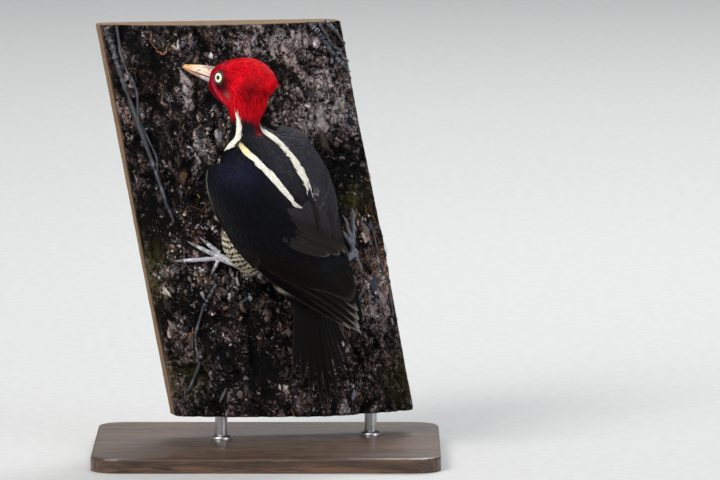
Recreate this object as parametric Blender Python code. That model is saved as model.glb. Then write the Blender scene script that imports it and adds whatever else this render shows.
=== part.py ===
"""Pale-billed woodpecker, life size, clinging to a cut length of trunk on a plain display stand.

Metres, +Z up, origin at the middle of the base's underside. The bird's back faces -Y.
The torso, wings, tail and thighs are modelled in the bird's own frame: +Y towards the head,
+Z out of the back, +X to the bird's right. The head has a frame of its own: +Y along the bill.
"""

import math

import bmesh
import bpy
from mathutils import Matrix, Vector

MM = 0.001
GAP = 0.3 * MM  # clearance left between neighbouring solids

# --- Driving dimensions -----------------------------------------------------------------------
BIRD_CENTRE = Vector((0.008, -0.060, 0.211))  # middle of the torso
BIRD_TILT = (math.radians(92), math.radians(-31), math.radians(30))
HEAD_CENTRE = BIRD_CENTRE + Vector((-0.0375, -0.010, 0.1002))  # midway between the eyes
HEAD_TILT = (math.radians(8), 0.0, math.radians(45))
BILL_LENGTH = 37.8 * MM
EYE_RADIUS = 5.2 * MM
TAIL_LENGTH = 115 * MM
TAIL_FEATHERS = 10
TAIL_FAN = math.radians(15)  # from the middle to either edge

PERCH_RADIUS = 220 * MM  # the big trunk's own curve; the perch is a slab off its bark side
PERCH_HALF_WIDTH = 100 * MM
PERCH_THICK = 58 * MM
PERCH_BOTTOM = 31 * MM
PERCH_TOP = 348 * MM
PERCH_TURN = math.radians(12)  # the bark faces -Y, turned this far towards +X
PERCH_LEAN_SIDE = math.tan(math.radians(-10))  # towards +X, per metre of height
PERCH_LEAN_BACK = math.tan(math.radians(5))
BODY_TO_BARK = 63 * MM  # from the middle of the torso to the bark, level

BASE_SIZE = (280 * MM, 230 * MM, 12 * MM)
BASE_CORNER = 22 * MM
ROD_RADIUS = 5 * MM
ROD_SPREAD = 62 * MM

# --- Tables of sections, in millimetres ---------------------------------------------------------
# Torso: y, half width, top, bottom, and x of its middle, since the rump swings to the bird's left.
TORSO = (
    (-92, 6, -1, -13, -12),
    (-80, 13, 3, -23, -11),
    (-60, 22, 8, -34, -8),
    (-36, 30.5, 24, -38, -3),
    (-8, 35, 33, -36, 0),
    (18, 36, 35, -37, 0),
    (40, 32, 32, -31, 0),
    (56, 24, 26, -20, 0),
    (65, 13, 19, -6, 0),
)
# Head: y, half width, top, bottom, x; from the crest's point behind to the feathers round the bill.
HEAD = (
    (-54, 1.2, 8.5, 4.5, 0),
    (-49.5, 4.4, 12.5, 0, 0),
    (-41, 10.2, 17.8, -8, 0),
    (-30, 14.8, 21, -18.5, 0),
    (-17, 15.6, 20.8, -22, 0),
    (-5, 14.6, 18.0, -22, 0),
    (6, 12.6, 13.6, -19, 0),
    (12.5, 9.6, 9.4, -16.5, 0),
    (17, 6.6, 6.0, -12.6, 0),
)
# Neck: share of its length, half width, towards the nape, towards the throat.
NECK = (
    (0.0, 22, 20, 21),
    (0.2, 19.5, 16.5, 19),
    (0.38, 13.6, 13, 14),
    (0.52, 11.2, 12.4, 10.8),
    (0.66, 11.2, 15, 11.4),
    (0.8, 12.6, 20, 14.5),
    (1.0, 14.0, 23, 18),
)
# Folded wings: y, lower edge x and z, upper edge x and z, swell of the outside, thickness.
WING_LEFT = (
    (58, -28, -8, -24, 6, 2, 3.0),
    (53, -33, -13, -24, 17, 7, 4.5),
    (40, -38.5, -17, -21, 28, 11.5, 5.5),
    (24, -40.5, -20, -17, 33.5, 14, 6.0),
    (6, -42, -21, -12, 36, 15, 5.5),
    (-12, -41.5, -21, -5, 37, 16.5, 5.0),
    (-30, -39.5, -18, 5, 36, 18, 4.2),
    (-52, -34.5, -10.5, 18, 31, 14.5, 3.2),
    (-73, -25.5, -3, 20, 25.5, 9, 2.5),
    (-95, -14, 2, 19, 21, 5, 1.9),
    (-115, -3, 6, 15.5, 16.5, 2.6, 1.5),
    (-127, 3, 10.5, 11.5, 14, 1, 1.2),
    (-131, 7, 12.4, 9, 13.2, 0.3, 1.0),
)
WING_RIGHT = (
    (54, 30, -6, 27, 9, 2, 3.0),
    (50, 35, -11, 24, 18, 7, 4.5),
    (40, 41, -14, 20, 25, 14, 6.0),
    (24, 44, -15.5, 17, 31, 16, 6.0),
    (6, 45, -15.5, 15, 34, 17, 5.5),
    (-12, 43, -14, 12, 34, 17, 5.0),
    (-30, 39.5, -11, 8, 32, 16, 4.2),
    (-52, 35, -6, 8, 26.5, 12, 3.2),
    (-73, 30, -1, 9, 21, 8, 2.4),
    (-95, 25.5, 3.5, 11, 16, 4.5, 1.8),
    (-110, 22.5, 6, 14, 12.5, 2, 1.4),
    (-121, 20, 8, 18, 10, 0.5, 1.0),
)
TAIL_ROOT = Vector((-2, -70, 0)) * MM
TAIL_DROP = math.radians(11.5)
TAIL_SWING = math.radians(-13)

# Legs. Feathered thigh: two places and radii in the bird's frame. Heel: in millimetres from
# the torso's middle, in world axes. Foot: its place on the bark (along the curve, height) from there.
THIGH = {
    "left": ((-13, 4, -12, 13), (-27, -22, -32, 17.5)),
    "right": ((13, 2, -12, 13), (21, -23, -20, 16)),
}
HEEL = {"left": Vector((-19, 42, -59)) * MM, "right": Vector((37, 56, -62)) * MM}
FOOT_AT = {"left": (-44.0 * MM, -48.5 * MM), "right": (70 * MM, -49 * MM)}
# Toes: number, direction in degrees on the bark (0 is +X, 90 is up), length, sideways start.
TOES = {
    "left": ((1, 236, 11, 1.5), (2, 136, 13, -3.0), (3, 152, 18, 0), (4, 184, 29, 1.6)),
    "right": ((1, 285, 10, 0), (2, 116, 16, -1.6), (3, 95, 23, 0), (4, 76, 28, 1.8)),
}
CLAW_LENGTH = {1: 6.0 * MM, 2: 6.0 * MM, 3: 7.0 * MM, 4: 8.0 * MM}


# --- Small tools --------------------------------------------------------------------------------
def clear_scene():
    for obj in list(bpy.data.objects):
        bpy.data.objects.remove(obj)


def make_material(name, colour, roughness, metallic=0.0):
    made = bpy.data.materials.new(name)
    made.use_nodes = True
    shader = made.node_tree.nodes["Principled BSDF"]
    shader.inputs["Base Color"].default_value = (*colour, 1.0)
    shader.inputs["Roughness"].default_value = roughness
    shader.inputs["Metallic"].default_value = metallic
    return made


def between(table, key):
    """The table's row at key, on a smooth curve through its rows (ordered by their first number)."""
    rows = sorted(table)
    i = max(0, min(len(rows) - 2, sum(row[0] <= key for row in rows) - 1))
    before, start, end, after = (rows[max(0, i - 1)], rows[i], rows[i + 1], rows[min(len(rows) - 1, i + 2)])
    span = end[0] - start[0]
    t = (key - start[0]) / span
    made = []
    for b, s, e, a in list(zip(before, start, end, after))[1:]:
        slope_in = (e - b) / (end[0] - before[0]) * span
        slope_out = (a - s) / (after[0] - start[0]) * span
        made.append(
            (2 * t**3 - 3 * t**2 + 1) * s
            + (t**3 - 2 * t**2 + t) * slope_in
            + (3 * t**2 - 2 * t**3) * e
            + (t**3 - t**2) * slope_out
        )
    return made


def spread(first, last, count):
    return [first + (last - first) * i / (count - 1) for i in range(count)]


def loft(rings):
    """A closed bmesh that runs through the rings: its first face is extruded from each to the next."""
    bm = bmesh.new()
    face = bm.faces.new([bm.verts.new(point) for point in rings[0]])
    for before, ring in zip(rings, rings[1:]):
        made = bmesh.ops.extrude_face_region(bm, geom=[face])["geom"]
        if before is not rings[0]:
            bmesh.ops.delete(bm, geom=[face], context="FACES_ONLY")
        face = next(g for g in made if isinstance(g, bmesh.types.BMFace))
        for vert in face.verts:
            nearest = min(range(len(ring)), key=lambda i: (before[i] - vert.co).length_squared)
            vert.co = ring[nearest]
    bmesh.ops.recalc_face_normals(bm, faces=bm.faces)
    return bm


def add_object(name, bm, material=None, parent=None):
    mesh = bpy.data.meshes.new(name)
    bm.to_mesh(mesh)
    bm.free()
    mesh.shade_smooth()
    mesh.set_sharp_from_angle(angle=math.radians(50))
    obj = bpy.data.objects.new(name, mesh)
    bpy.context.scene.collection.objects.link(obj)
    obj.parent = parent
    if material:
        mesh.materials.append(material)
    return obj


def add_cutter(name, bm, parent=None):
    cutter = add_object(name, bm, parent=parent)
    cutter.hide_render = True
    cutter.display_type = "WIRE"
    return cutter


def combine(obj, other, operation="DIFFERENCE"):
    modifier = obj.modifiers.new(f"{operation.lower()} {other.name}", "BOOLEAN")
    modifier.operation = operation
    modifier.object = other


def tube(path, radii, sides, up=Vector((0, 0, 1))):
    """Rings round a path, one radius each."""
    rings = []
    for i, point in enumerate(path):
        ahead = path[min(i + 1, len(path) - 1)] - path[max(i - 1, 0)]
        ahead.normalize()
        side = ahead.cross(up).normalized()
        over = side.cross(ahead)
        rings.append(
            [
                point + radii[i] * (math.cos(a) * side + math.sin(a) * over)
                for a in (2 * math.pi * k / sides for k in range(sides))
            ]
        )
    return rings


def make_frame(name, location, tilt):
    empty = bpy.data.objects.new(name, None)
    bpy.context.scene.collection.objects.link(empty)
    empty.location = location
    empty.rotation_euler = tilt
    return empty


# --- Perch --------------------------------------------------------------------------------------
BARK_OUT = Vector((math.sin(PERCH_TURN), -math.cos(PERCH_TURN), 0))
BARK_ALONG = Vector((math.cos(PERCH_TURN), math.sin(PERCH_TURN), 0))


def perch_middle(height):
    """Centre of the trunk's curve at a height above the floor."""
    rise = height - BIRD_CENTRE.z
    level = Vector((BIRD_CENTRE.x, BIRD_CENTRE.y, height))
    depth = BODY_TO_BARK + PERCH_RADIUS + rise * PERCH_LEAN_BACK
    return level - BARK_OUT * depth + BARK_ALONG * rise * PERCH_LEAN_SIDE


def bark_point(along, height, lift=0.0):
    """A point of the bark, by its distance along the curve and its height, lifted off by lift."""
    angle = along / PERCH_RADIUS
    out = math.cos(angle) * BARK_OUT + math.sin(angle) * BARK_ALONG
    # Long low swells run slantwise down the trunk and die out under the feet.
    swell = math.sin(along * 38 + height * 9) + 0.7 * math.sin(along * 71 - height * 16 + 1.2)
    calm = min(1.0, (abs(height - BIRD_CENTRE.z + 45 * MM) / (95 * MM)) ** 2)
    return perch_middle(height) + (PERCH_RADIUS + lift - 1.6 * MM * calm * (1.7 - swell)) * out


def perch_ring(height, columns=18):
    half_angle = math.asin(PERCH_HALF_WIDTH / PERCH_RADIUS)
    half = half_angle * PERCH_RADIUS
    front = [bark_point(along, height) for along in spread(-half, half, columns)]
    back_of = perch_middle(height) + (PERCH_RADIUS - PERCH_THICK) * BARK_OUT
    width = PERCH_HALF_WIDTH
    round_off = 7 * MM
    back = [
        back_of + BARK_ALONG * width + BARK_OUT * round_off,
        back_of + BARK_ALONG * (width - round_off),
        back_of,
        back_of - BARK_ALONG * (width - round_off),
        back_of - BARK_ALONG * width + BARK_OUT * round_off,
    ]
    return front + back


def make_perch(material):
    heights = spread(PERCH_BOTTOM, PERCH_TOP, 12)
    return add_object("perch", loft([perch_ring(h) for h in heights]), material)


# --- Stand --------------------------------------------------------------------------------------
def make_stand(wood, metal):
    width, depth, thick = BASE_SIZE
    bm = bmesh.new()
    bmesh.ops.create_cube(bm, size=1.0)
    bmesh.ops.scale(bm, verts=bm.verts, vec=(width, depth, thick))
    bmesh.ops.translate(bm, verts=bm.verts, vec=(0, 0, thick / 2))
    uprights = [e for e in bm.edges if abs(e.verts[0].co.z - e.verts[1].co.z) > thick / 2]
    bmesh.ops.bevel(
        bm, geom=uprights, offset=BASE_CORNER, segments=6, profile=0.5, affect="EDGES", material=-1
    )
    rim = [e for e in bm.edges if min(v.co.z for v in e.verts) > thick * 0.9]
    bmesh.ops.bevel(bm, geom=rim, offset=2 * MM, segments=2, profile=0.5, affect="EDGES", material=-1)
    add_object("stand_base", bm, wood)

    foot = perch_middle(PERCH_BOTTOM) + (PERCH_RADIUS - PERCH_THICK / 2) * BARK_OUT
    for name, side in (("stand_rod_left", -1), ("stand_rod_right", 1)):
        at = foot + side * ROD_SPREAD * BARK_ALONG
        low, high = thick + GAP, PERCH_BOTTOM - GAP
        bm = bmesh.new()
        bmesh.ops.create_cone(
            bm, cap_ends=True, segments=20, radius1=ROD_RADIUS, radius2=ROD_RADIUS, depth=high - low
        )
        bmesh.ops.translate(bm, verts=bm.verts, vec=(at.x, at.y, (low + high) / 2))
        add_object(name, bm, metal)


# --- Torso, neck and head -----------------------------------------------------------------------
def section(y, half_width, top, bottom, x, sides, grow):
    """A ring across the body at y: an oval about x."""
    middle = (top + bottom) / 2
    ring = []
    for a in (2 * math.pi * k / sides for k in range(sides)):
        reach = top - middle
        ring.append(
            Vector(
                (
                    x * MM + (half_width * MM + grow) * math.cos(a),
                    y * MM,
                    middle * MM + (reach * MM + grow) * math.sin(a),
                )
            )
        )
    return ring


def torso_rings(grow=0.0):
    first, last = TORSO[0][0], TORSO[-1][0]
    rings = [section(y, *between(TORSO, y), 24, grow) for y in spread(first, last, 15)]
    if grow:
        rings[0] = [p - Vector((0, grow, 0)) for p in rings[0]]
        rings[-1] = [p + Vector((0, grow, 0)) for p in rings[-1]]
    return rings


def head_rings(grow=0.0):
    first, last = HEAD[0][0], HEAD[-1][0]
    rings = [section(y, *between(HEAD, y), 22, grow) for y in spread(first, last, 14)]
    if grow:
        rings[0] = [p - Vector((0, grow, 0)) for p in rings[0]]
        rings[-1] = [p + Vector((0, grow, 0)) for p in rings[-1]]
    return rings


def neck_rings(bird_frame, head_frame):
    """Rings in world axes from inside the shoulders, straight up the body's line, into the head."""
    start = bird_frame @ (Vector((0, 44, 4)) * MM)
    leave = bird_frame @ (Vector((0, 68, 5)) * MM)
    arrive = head_frame @ (Vector((0, -22, -32)) * MM)
    end = head_frame @ (Vector((0, -20, -6)) * MM)
    side_low = bird_frame.to_3x3() @ Vector((1, 0, 0))
    side_high = head_frame.to_3x3() @ Vector((1, 0, 0))
    rings = []
    for t in spread(0, 1, 11):
        centre = (
            (1 - t) ** 3 * start + 3 * (1 - t) ** 2 * t * leave + 3 * (1 - t) * t * t * arrive + t**3 * end
        )
        ahead = ((1 - t) ** 2 * (leave - start) + 2 * (1 - t) * t * (arrive - leave) + t * t * (end - arrive))
        ahead.normalize()
        side = side_low.lerp(side_high, t)
        side = (side - side.dot(ahead) * ahead).normalized()
        back = side.cross(ahead)
        half, nape, throat = between(NECK, t)
        ring = []
        for a in (2 * math.pi * k / 22 for k in range(22)):
            reach = nape if math.sin(a) > 0 else throat
            ring.append(centre + MM * (half * math.cos(a) * side + reach * math.sin(a) * back))
        rings.append(ring)
    return rings


def ball(radius, at, around=14, along=9):
    bm = bmesh.new()
    bmesh.ops.create_uvsphere(bm, u_segments=around, v_segments=along, radius=radius)
    bmesh.ops.rotate(bm, verts=bm.verts, cent=(0, 0, 0), matrix=Matrix.Rotation(math.pi / 2, 3, "Y"))
    bmesh.ops.translate(bm, verts=bm.verts, vec=at)
    return bm


def make_head(bird, head, red, horn, eye_yellow):
    skull = add_object("head", loft(head_rings()), red, head)
    inflated = add_cutter("cut_round_head", loft(head_rings(GAP)), head)
    for side, name in ((-1, "eye_left"), (1, "eye_right")):
        at = Vector((side * 9.6, -1.0, 2.0)) * MM
        add_object(name, ball(EYE_RADIUS, at), eye_yellow, head)
        combine(skull, add_cutter(f"cut_{name}", ball(EYE_RADIUS + GAP, at), head))

    neck = add_object("neck", loft(neck_rings(bird.matrix_world, head.matrix_world)), red)
    combine(neck, inflated)
    combine(neck, add_cutter("cut_round_torso", loft(torso_rings(GAP)), bird))
    make_bill(head, inflated, horn)


def bill_rings(upper):
    """Half of the straight chisel bill: a low ridged roof above the gape, or a shallow keel below."""
    rings = []
    root, tip = 11.0, 15.6 + BILL_LENGTH / MM
    gape = -1.6
    for t in spread(0, 1, 7):
        narrow = 1 - t**1.25
        half = 0.7 + 5.0 * narrow
        depth = (0.7 + 6.3 * narrow) if upper else (0.6 + 5.2 * narrow)
        level = gape + 0.8 * t
        y = root + (tip - root) * t - (0.0 if upper else 1.2 * t)
        sign = 1 if upper else -1
        edge = level + sign * GAP / MM / 2
        # Side, shoulder and ridge; the ridge keeps a small flat, as a chisel bill's does.
        outline = ((1, 0), (0.86, 0.45), (0.5, 0.85), (0.16, 1.0))
        ring = [(half * x, edge + sign * depth * z) for x, z in outline]
        ring += [(-x, z) for x, z in reversed(ring)]
        rings.append([Vector((x, y, z)) * MM for x, z in ring])
    return rings


def make_bill(head, inflated, horn):
    for name, upper in (("bill_upper", True), ("bill_lower", False)):
        half = add_object(name, loft(bill_rings(upper)), horn, head)
        combine(half, inflated)


# --- Wings and tail -----------------------------------------------------------------------------
def wing_rings(table, outward, grow=0.0):
    """Closed rings across a folded wing: the swelling outside, then back along the inside."""
    rows = sorted(table)
    first, last = rows[0][0], rows[-1][0]
    columns = 8
    rings = []
    for y in spread(first, last, 19):
        x0, z0, x1, z1, swell, thick = between(table, y)
        low, high = Vector((x0, 0, z0)), Vector((x1, 0, z1))
        chord = high - low
        normal = Vector((-chord.z, 0, chord.x)).normalized() * outward
        outer, inner = [], []
        for v in spread(0, 1, columns):
            bow = math.sin(math.pi * v) ** 0.85 if 0 < v < 1 else 0.0
            point = low + chord * v + normal * swell * bow
            slope = chord + normal * swell * math.pi * math.cos(math.pi * v)
            across = Vector((-slope.z, 0, slope.x)).normalized() * outward
            wall = thick * (0.4 + 0.6 * math.sin(math.pi * v))
            point += Vector((0, y, 0)) + chord.normalized() * grow / MM * {0: -1, 1: 1}.get(v, 0)
            outer.append(point + across * grow / MM)
            inner.append(point - across * (wall + grow / MM))
        rings.append([p * MM for p in outer + inner[::-1]])
    if grow:
        rings[0] = [p - Vector((0, grow, 0)) for p in rings[0]]
        rings[-1] = [p + Vector((0, grow, 0)) for p in rings[-1]]
    return rings


def make_wings(bird, torso_cutter, black):
    """Both wings, the left one lying on the right, and a cutter a gap larger round each."""
    left = add_object("wing_left", loft(wing_rings(WING_LEFT, 1)), black, bird)
    combine(left, torso_cutter)
    right = add_object("wing_right", loft(wing_rings(WING_RIGHT, -1)), black, bird)
    combine(right, torso_cutter)
    combine(right, add_cutter("cut_round_wing_left", loft(wing_rings(WING_LEFT, 1, GAP)), bird))
    add_cutter("cut_round_wing_right", loft(wing_rings(WING_RIGHT, -1, GAP)), bird)


def tail_surface(u, v, side):
    """u runs across the fan from -1 to 1, v from root to tip, side is +1 on top and -1 below."""
    feather = (u + 1) / 2 * TAIL_FEATHERS
    from_shaft = abs(feather - math.floor(min(feather, TAIL_FEATHERS - 1e-6)) - 0.5) * 2
    rank = abs(u)
    along = v * (TAIL_LENGTH * (1 - 0.34 * rank**1.6) - 8 * MM * from_shaft**1.5)
    angle = TAIL_FAN * u * (0.55 + 0.45 * v)
    thick = (3.2 - 2.0 * v) * MM * (1 - 0.3 * rank)
    hollow = 5 * MM * (1 - u * u) * math.sin(math.pi * 0.5 * v) - 2 * MM
    return Vector(
        (
            9 * MM * u + along * math.sin(angle),
            -along * math.cos(angle),
            0.6 * hollow + side * thick / 2 - 10 * MM * rank**2 * (1 - 0.3 * v),
        )
    )


def make_tail(bird, torso_cutter, black):
    """Ten stiff pointed feathers as one fan, lofted from its left edge to its right one."""
    rows = (0, 0.3, 0.55, 0.75, 0.9, 1)
    rings = []
    for u in spread(-1, 1, TAIL_FEATHERS * 4 + 1):
        rings.append([tail_surface(u, v, 1) for v in rows] + [tail_surface(u, v, -1) for v in rows[::-1]])
    bm = loft(rings)
    place = (
        Matrix.Translation(TAIL_ROOT)
        @ Matrix.Rotation(TAIL_SWING, 4, "Z")
        @ Matrix.Rotation(TAIL_DROP, 4, "X")
    )
    bmesh.ops.transform(bm, matrix=place, verts=bm.verts)
    tail = add_object("tail", bm, black, bird)
    combine(tail, torso_cutter)
    for side in ("left", "right"):
        combine(tail, bpy.data.objects[f"cut_round_wing_{side}"])


# --- Legs ---------------------------------------------------------------------------------------
def toe_path(side, direction, reach, offset, lift, arch, steps):
    """Points along the bark, reach (start, end) from the foot's middle, lifted off it and arched."""
    along, rise = FOOT_AT[side]
    height = BIRD_CENTRE.z + rise
    way = Vector((math.cos(math.radians(direction)), math.sin(math.radians(direction))))
    points = []
    for t in spread(0, 1, steps):
        at = way * (reach[0] + (reach[1] - reach[0]) * t) + Vector((-way.y, way.x)) * offset
        points.append(bark_point(along + at.x, height + at.y, lift + arch * math.sin(math.pi * t)))
    return points


def longer(path, extra):
    """The same path with both ends carried on by extra."""
    first = path[0] + (path[0] - path[1]).normalized() * extra
    last = path[-1] + (path[-1] - path[-2]).normalized() * extra
    return [first, *path[1:-1], last]


def make_leg(side, bird, torso_cutter, skin, claw, feathers):
    ankle = toe_path(side, 90, (0, 1 * MM), 0, 3.4 * MM, 0, 2)[0]
    heel = BIRD_CENTRE + HEEL[side]
    cuff = heel + (ankle - heel).normalized() * 6 * MM
    hip, belly = [(*(bird.matrix_world @ (Vector(p[:3]) * MM)), p[3]) for p in THIGH[side]]
    stations = [(0.0, *hip), (0.4, *belly), (0.82, *heel, 8), (1.0, *cuff, 5)]
    shape = [between(stations, t) for t in spread(0, 1, 8)]
    thigh = add_object(
        f"thigh_{side}", loft(tube([Vector(r[:3]) for r in shape], [r[3] * MM for r in shape], 14)), feathers
    )
    combine(thigh, torso_cutter)
    combine(thigh, bpy.data.objects[f"cut_round_wing_{side}"])

    shank = [heel.lerp(ankle, t) for t in spread(0, 1, 6)]
    shank_radii = [r * MM for r in (3.7, 3.5, 3.3, 3.2, 3.1, 3.2)]
    foot = add_object(f"foot_{side}", loft(tube(shank, shank_radii, 10)), skin)
    sleeve = tube(longer(shank, GAP), [r + GAP for r in shank_radii], 10)
    combine(thigh, add_cutter(f"cut_thigh_{side}", loft(sleeve)))
    combine(foot, add_cutter(f"join_pad_{side}", ball(3.1 * MM, ankle, 12, 8)), "UNION")
    for number, direction, length, offset in TOES[side]:
        fat = (1.6 if number == 1 else 1.9) * MM
        start, end, offset = 0.8 * MM, (length + 0.8) * MM, offset * MM
        path = toe_path(side, direction, (start, end), offset, fat + 0.6 * MM, 1.1 * MM, 8)
        out = (path[-1] - perch_middle(path[-1].z)).normalized()
        # Each joint of the toe swells a little between slimmer lengths.
        radii = [fat * (1.0 - 0.2 * t + 0.08 * math.cos(6 * math.pi * t)) for t in spread(0, 1, 8)]
        combine(foot, add_cutter(f"join_toe_{side}_{number}", loft(tube(path, radii, 8, up=out))), "UNION")
        # The claw leaves the toe's end, humps over and comes down to the bark.
        hook = toe_path(side, direction, (end - 1 * MM, end + CLAW_LENGTH[number]), offset, 0, 0, 7)
        hook = [
            p + out * (fat * 0.95 * (1 - t) + (1.9 * math.sin(math.pi * t**0.8) + 0.85) * MM)
            for p, t in zip(hook, spread(0, 1, 7))
        ]
        claw_radii = [MM * (1.3 - 0.95 * t) for t in spread(0, 1, 7)]
        nail = add_object(f"claw_{side}_{number}", loft(tube(hook, claw_radii, 8, up=out)), claw)
        sleeve = tube(longer(path, GAP), [r + GAP for r in radii], 8, up=out)
        combine(nail, add_cutter(f"cut_claw_{side}_{number}", loft(sleeve)))


# --- The whole ----------------------------------------------------------------------------------
def main():
    clear_scene()
    black = make_material("black_plumage", (0.012, 0.012, 0.016), 0.55)
    red = make_material("red_plumage", (0.55, 0.008, 0.012), 0.6)
    barred = make_material("barred_plumage", (0.42, 0.36, 0.25), 0.7)
    horn = make_material("pale_bill", (0.62, 0.47, 0.31), 0.4)
    eye_yellow = make_material("eye", (0.70, 0.68, 0.42), 0.08)
    skin = make_material("grey_foot", (0.30, 0.31, 0.34), 0.6)
    claw = make_material("claw", (0.10, 0.10, 0.11), 0.35)
    bark = make_material("bark", (0.09, 0.065, 0.05), 0.85)
    wood = make_material("base_wood", (0.10, 0.055, 0.03), 0.4)
    steel = make_material("rod_steel", (0.5, 0.5, 0.52), 0.35, 1.0)

    bird = make_frame("bird_frame", BIRD_CENTRE, BIRD_TILT)
    head = make_frame("head_frame", HEAD_CENTRE, HEAD_TILT)
    bpy.context.view_layer.update()

    make_perch(bark)
    make_stand(wood, steel)
    add_object("trunk", loft(torso_rings()), black, bird)
    torso_cutter = add_cutter("cut_by_torso", loft(torso_rings(GAP)), bird)
    make_head(bird, head, red, horn, eye_yellow)
    make_wings(bird, torso_cutter, black)
    make_tail(bird, torso_cutter, black)
    for side in ("left", "right"):
        make_leg(side, bird, torso_cutter, skin, claw, barred)


main()
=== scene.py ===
"""Looks of the life-size woodpecker model: a taxidermist's mount on a slab of bark.

Metres, +Z up, in the CAD model's own frame. The bird's back faces -Y.
"""

import itertools
import math

import bmesh
import bpy
import numpy as np
from mathutils import Euler, Matrix, Vector, noise
from mathutils.bvhtree import BVHTree


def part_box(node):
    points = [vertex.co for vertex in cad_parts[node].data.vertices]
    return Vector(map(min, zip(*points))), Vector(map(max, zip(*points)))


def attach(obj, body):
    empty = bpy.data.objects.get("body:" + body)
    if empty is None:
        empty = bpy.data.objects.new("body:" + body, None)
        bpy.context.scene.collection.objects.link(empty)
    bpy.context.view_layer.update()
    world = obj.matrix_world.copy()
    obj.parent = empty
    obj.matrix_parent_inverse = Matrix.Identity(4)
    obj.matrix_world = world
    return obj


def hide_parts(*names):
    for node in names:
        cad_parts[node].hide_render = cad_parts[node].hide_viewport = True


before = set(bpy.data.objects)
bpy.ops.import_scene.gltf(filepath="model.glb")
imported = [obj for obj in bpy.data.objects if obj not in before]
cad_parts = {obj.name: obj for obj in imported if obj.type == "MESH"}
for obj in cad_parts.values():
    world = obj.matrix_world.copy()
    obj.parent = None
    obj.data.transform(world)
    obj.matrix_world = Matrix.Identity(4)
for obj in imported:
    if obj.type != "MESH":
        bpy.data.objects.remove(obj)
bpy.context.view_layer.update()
MM = 0.001

# --- Studio ---
# A round sheet of pale card that lies under the stand and sweeps up far out, a long lens a little
# above the bird's back, and soft boxes: a large one high on the left, a weak one on the right,
# one above and behind that edges the dark wings, and one over the card.
BIRD_CENTRE = Vector((0.008, -0.060, 0.211))
LENS_AWAY = 6.0
VIEW_DOWN = math.radians(6)
VIEW_WIDTH = 0.576
LOOK_RIGHT = 0.0672
LOOK_DOWN = 0.0296
SENSOR_WIDTH = 36


def set_out(name, data):
    """An object for a mesh, a lamp or the camera, put in the scene."""
    made = bpy.data.objects.new(name, data)
    bpy.context.scene.collection.objects.link(made)
    return made


camera_data = bpy.data.cameras.new("camera")
camera = set_out("camera", camera_data)
bpy.context.scene.camera = camera
ahead = Vector((0, math.cos(VIEW_DOWN), -math.sin(VIEW_DOWN)))
above = Vector((0, math.sin(VIEW_DOWN), math.cos(VIEW_DOWN)))
looked_at = BIRD_CENTRE + Vector((LOOK_RIGHT, 0, 0)) - above * LOOK_DOWN
camera.location = looked_at - ahead * LENS_AWAY
camera.rotation_mode = "QUATERNION"
camera.rotation_quaternion = ahead.to_track_quat("-Z", "Y")
camera_data.sensor_width = SENSOR_WIDTH
camera_data.lens = SENSOR_WIDTH * LENS_AWAY / VIEW_WIDTH
camera_data.clip_end = 60


class Sockets:
    """A node's inputs: each is given a plain number or colour, or another node's output."""

    def __init__(self, node):
        self.node = node

    def __setitem__(self, name, value):
        socket = self.node.inputs[name]
        if isinstance(value, Wire):
            self.node.id_data.links.new(value.socket, socket)
        else:
            socket.default_value = value


class Wire:
    """A node's output. Sums written with wires make the nodes that work them out."""

    def __init__(self, socket):
        self.socket = socket

    def __getitem__(self, name):
        """Another output of the same node."""
        return Wire(self.socket.node.outputs[name])

    def math(self, what, other=0.0):
        """What a Math node makes of this output and of another one or a number."""
        node = self.socket.id_data.nodes.new("ShaderNodeMath")
        node.operation = what
        given = Sockets(node)
        given[0] = self
        given[1] = other
        return Wire(node.outputs["Value"])

    def __add__(self, other):
        return self.math("ADD", other)

    def __sub__(self, other):
        return self.math("SUBTRACT", other)

    def __mul__(self, other):
        return self.math("MULTIPLY", other)


def start_finish(name):
    """A new material, the maker of its nodes and its shader's sockets."""
    made = bpy.data.materials.new(name)
    made.use_nodes = True
    nodes = made.node_tree.nodes

    def put(kind, inputs=None, **settings):
        """A new node, set and fed: its first output."""
        node = nodes.new("ShaderNode" + kind)
        for key, value in settings.items():
            setattr(node, key, value)
        given = Sockets(node)
        for socket, value in (inputs or {}).items():
            given[socket] = value
        return Wire(node.outputs[0])

    return made, put, Sockets(nodes["Principled BSDF"])


def grain(put, where, scale, detail=4.0, roughness=0.55, distortion=0.0):
    """Cloudy variation, 0 to 1."""
    settings = {"Scale": scale, "Detail": detail, "Roughness": roughness, "Distortion": distortion}
    return put("TexNoise", {"Vector": where, **settings})


def stops(put, amount, *colours):
    """A colour ramp: (place, (r, g, b)) for each stop."""
    ramp = put("ValToRGB", {"Fac": amount})
    strip = ramp.socket.node.color_ramp.elements
    while len(strip) < len(colours):
        strip.new(0.5)
    for stop, (place, colour) in zip(strip, colours):
        stop.position = place
        stop.color = (*colour, 1.0)
    return ramp


def level(put, amount, low, high, out_low=0.0, out_high=1.0):
    """A number taken from one range to another, held at its ends."""
    settings = {"From Min": low, "From Max": high, "To Min": out_low, "To Max": out_high}
    return put("MapRange", {"Value": amount, **settings})


def over(put, amount, below, on_top, way="MIX"):
    """One colour laid over another by an amount: a Mix node's colour inputs are its 6 and 7."""
    return put("Mix", {0: amount, 6: below, 7: on_top}, data_type="RGBA", blend_type=way)[2]


def relief(put, height, distance, strength=1.0):
    """A fine unevenness of the surface, as deep as distance in metres."""
    return put("Bump", {"Height": height, "Distance": distance, "Strength": strength})


card, put, shader = start_finish("pale_card")
where = put("TexCoord")["Object"]
fibre = grain(put, where, 90.0, 3.0)
shader["Base Color"] = stops(put, fibre, (0.3, (0.50, 0.50, 0.49)), (0.7, (0.54, 0.54, 0.53)))
shader["Roughness"] = 0.85
shader["Normal"] = relief(put, fibre, 0.0002)


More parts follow.
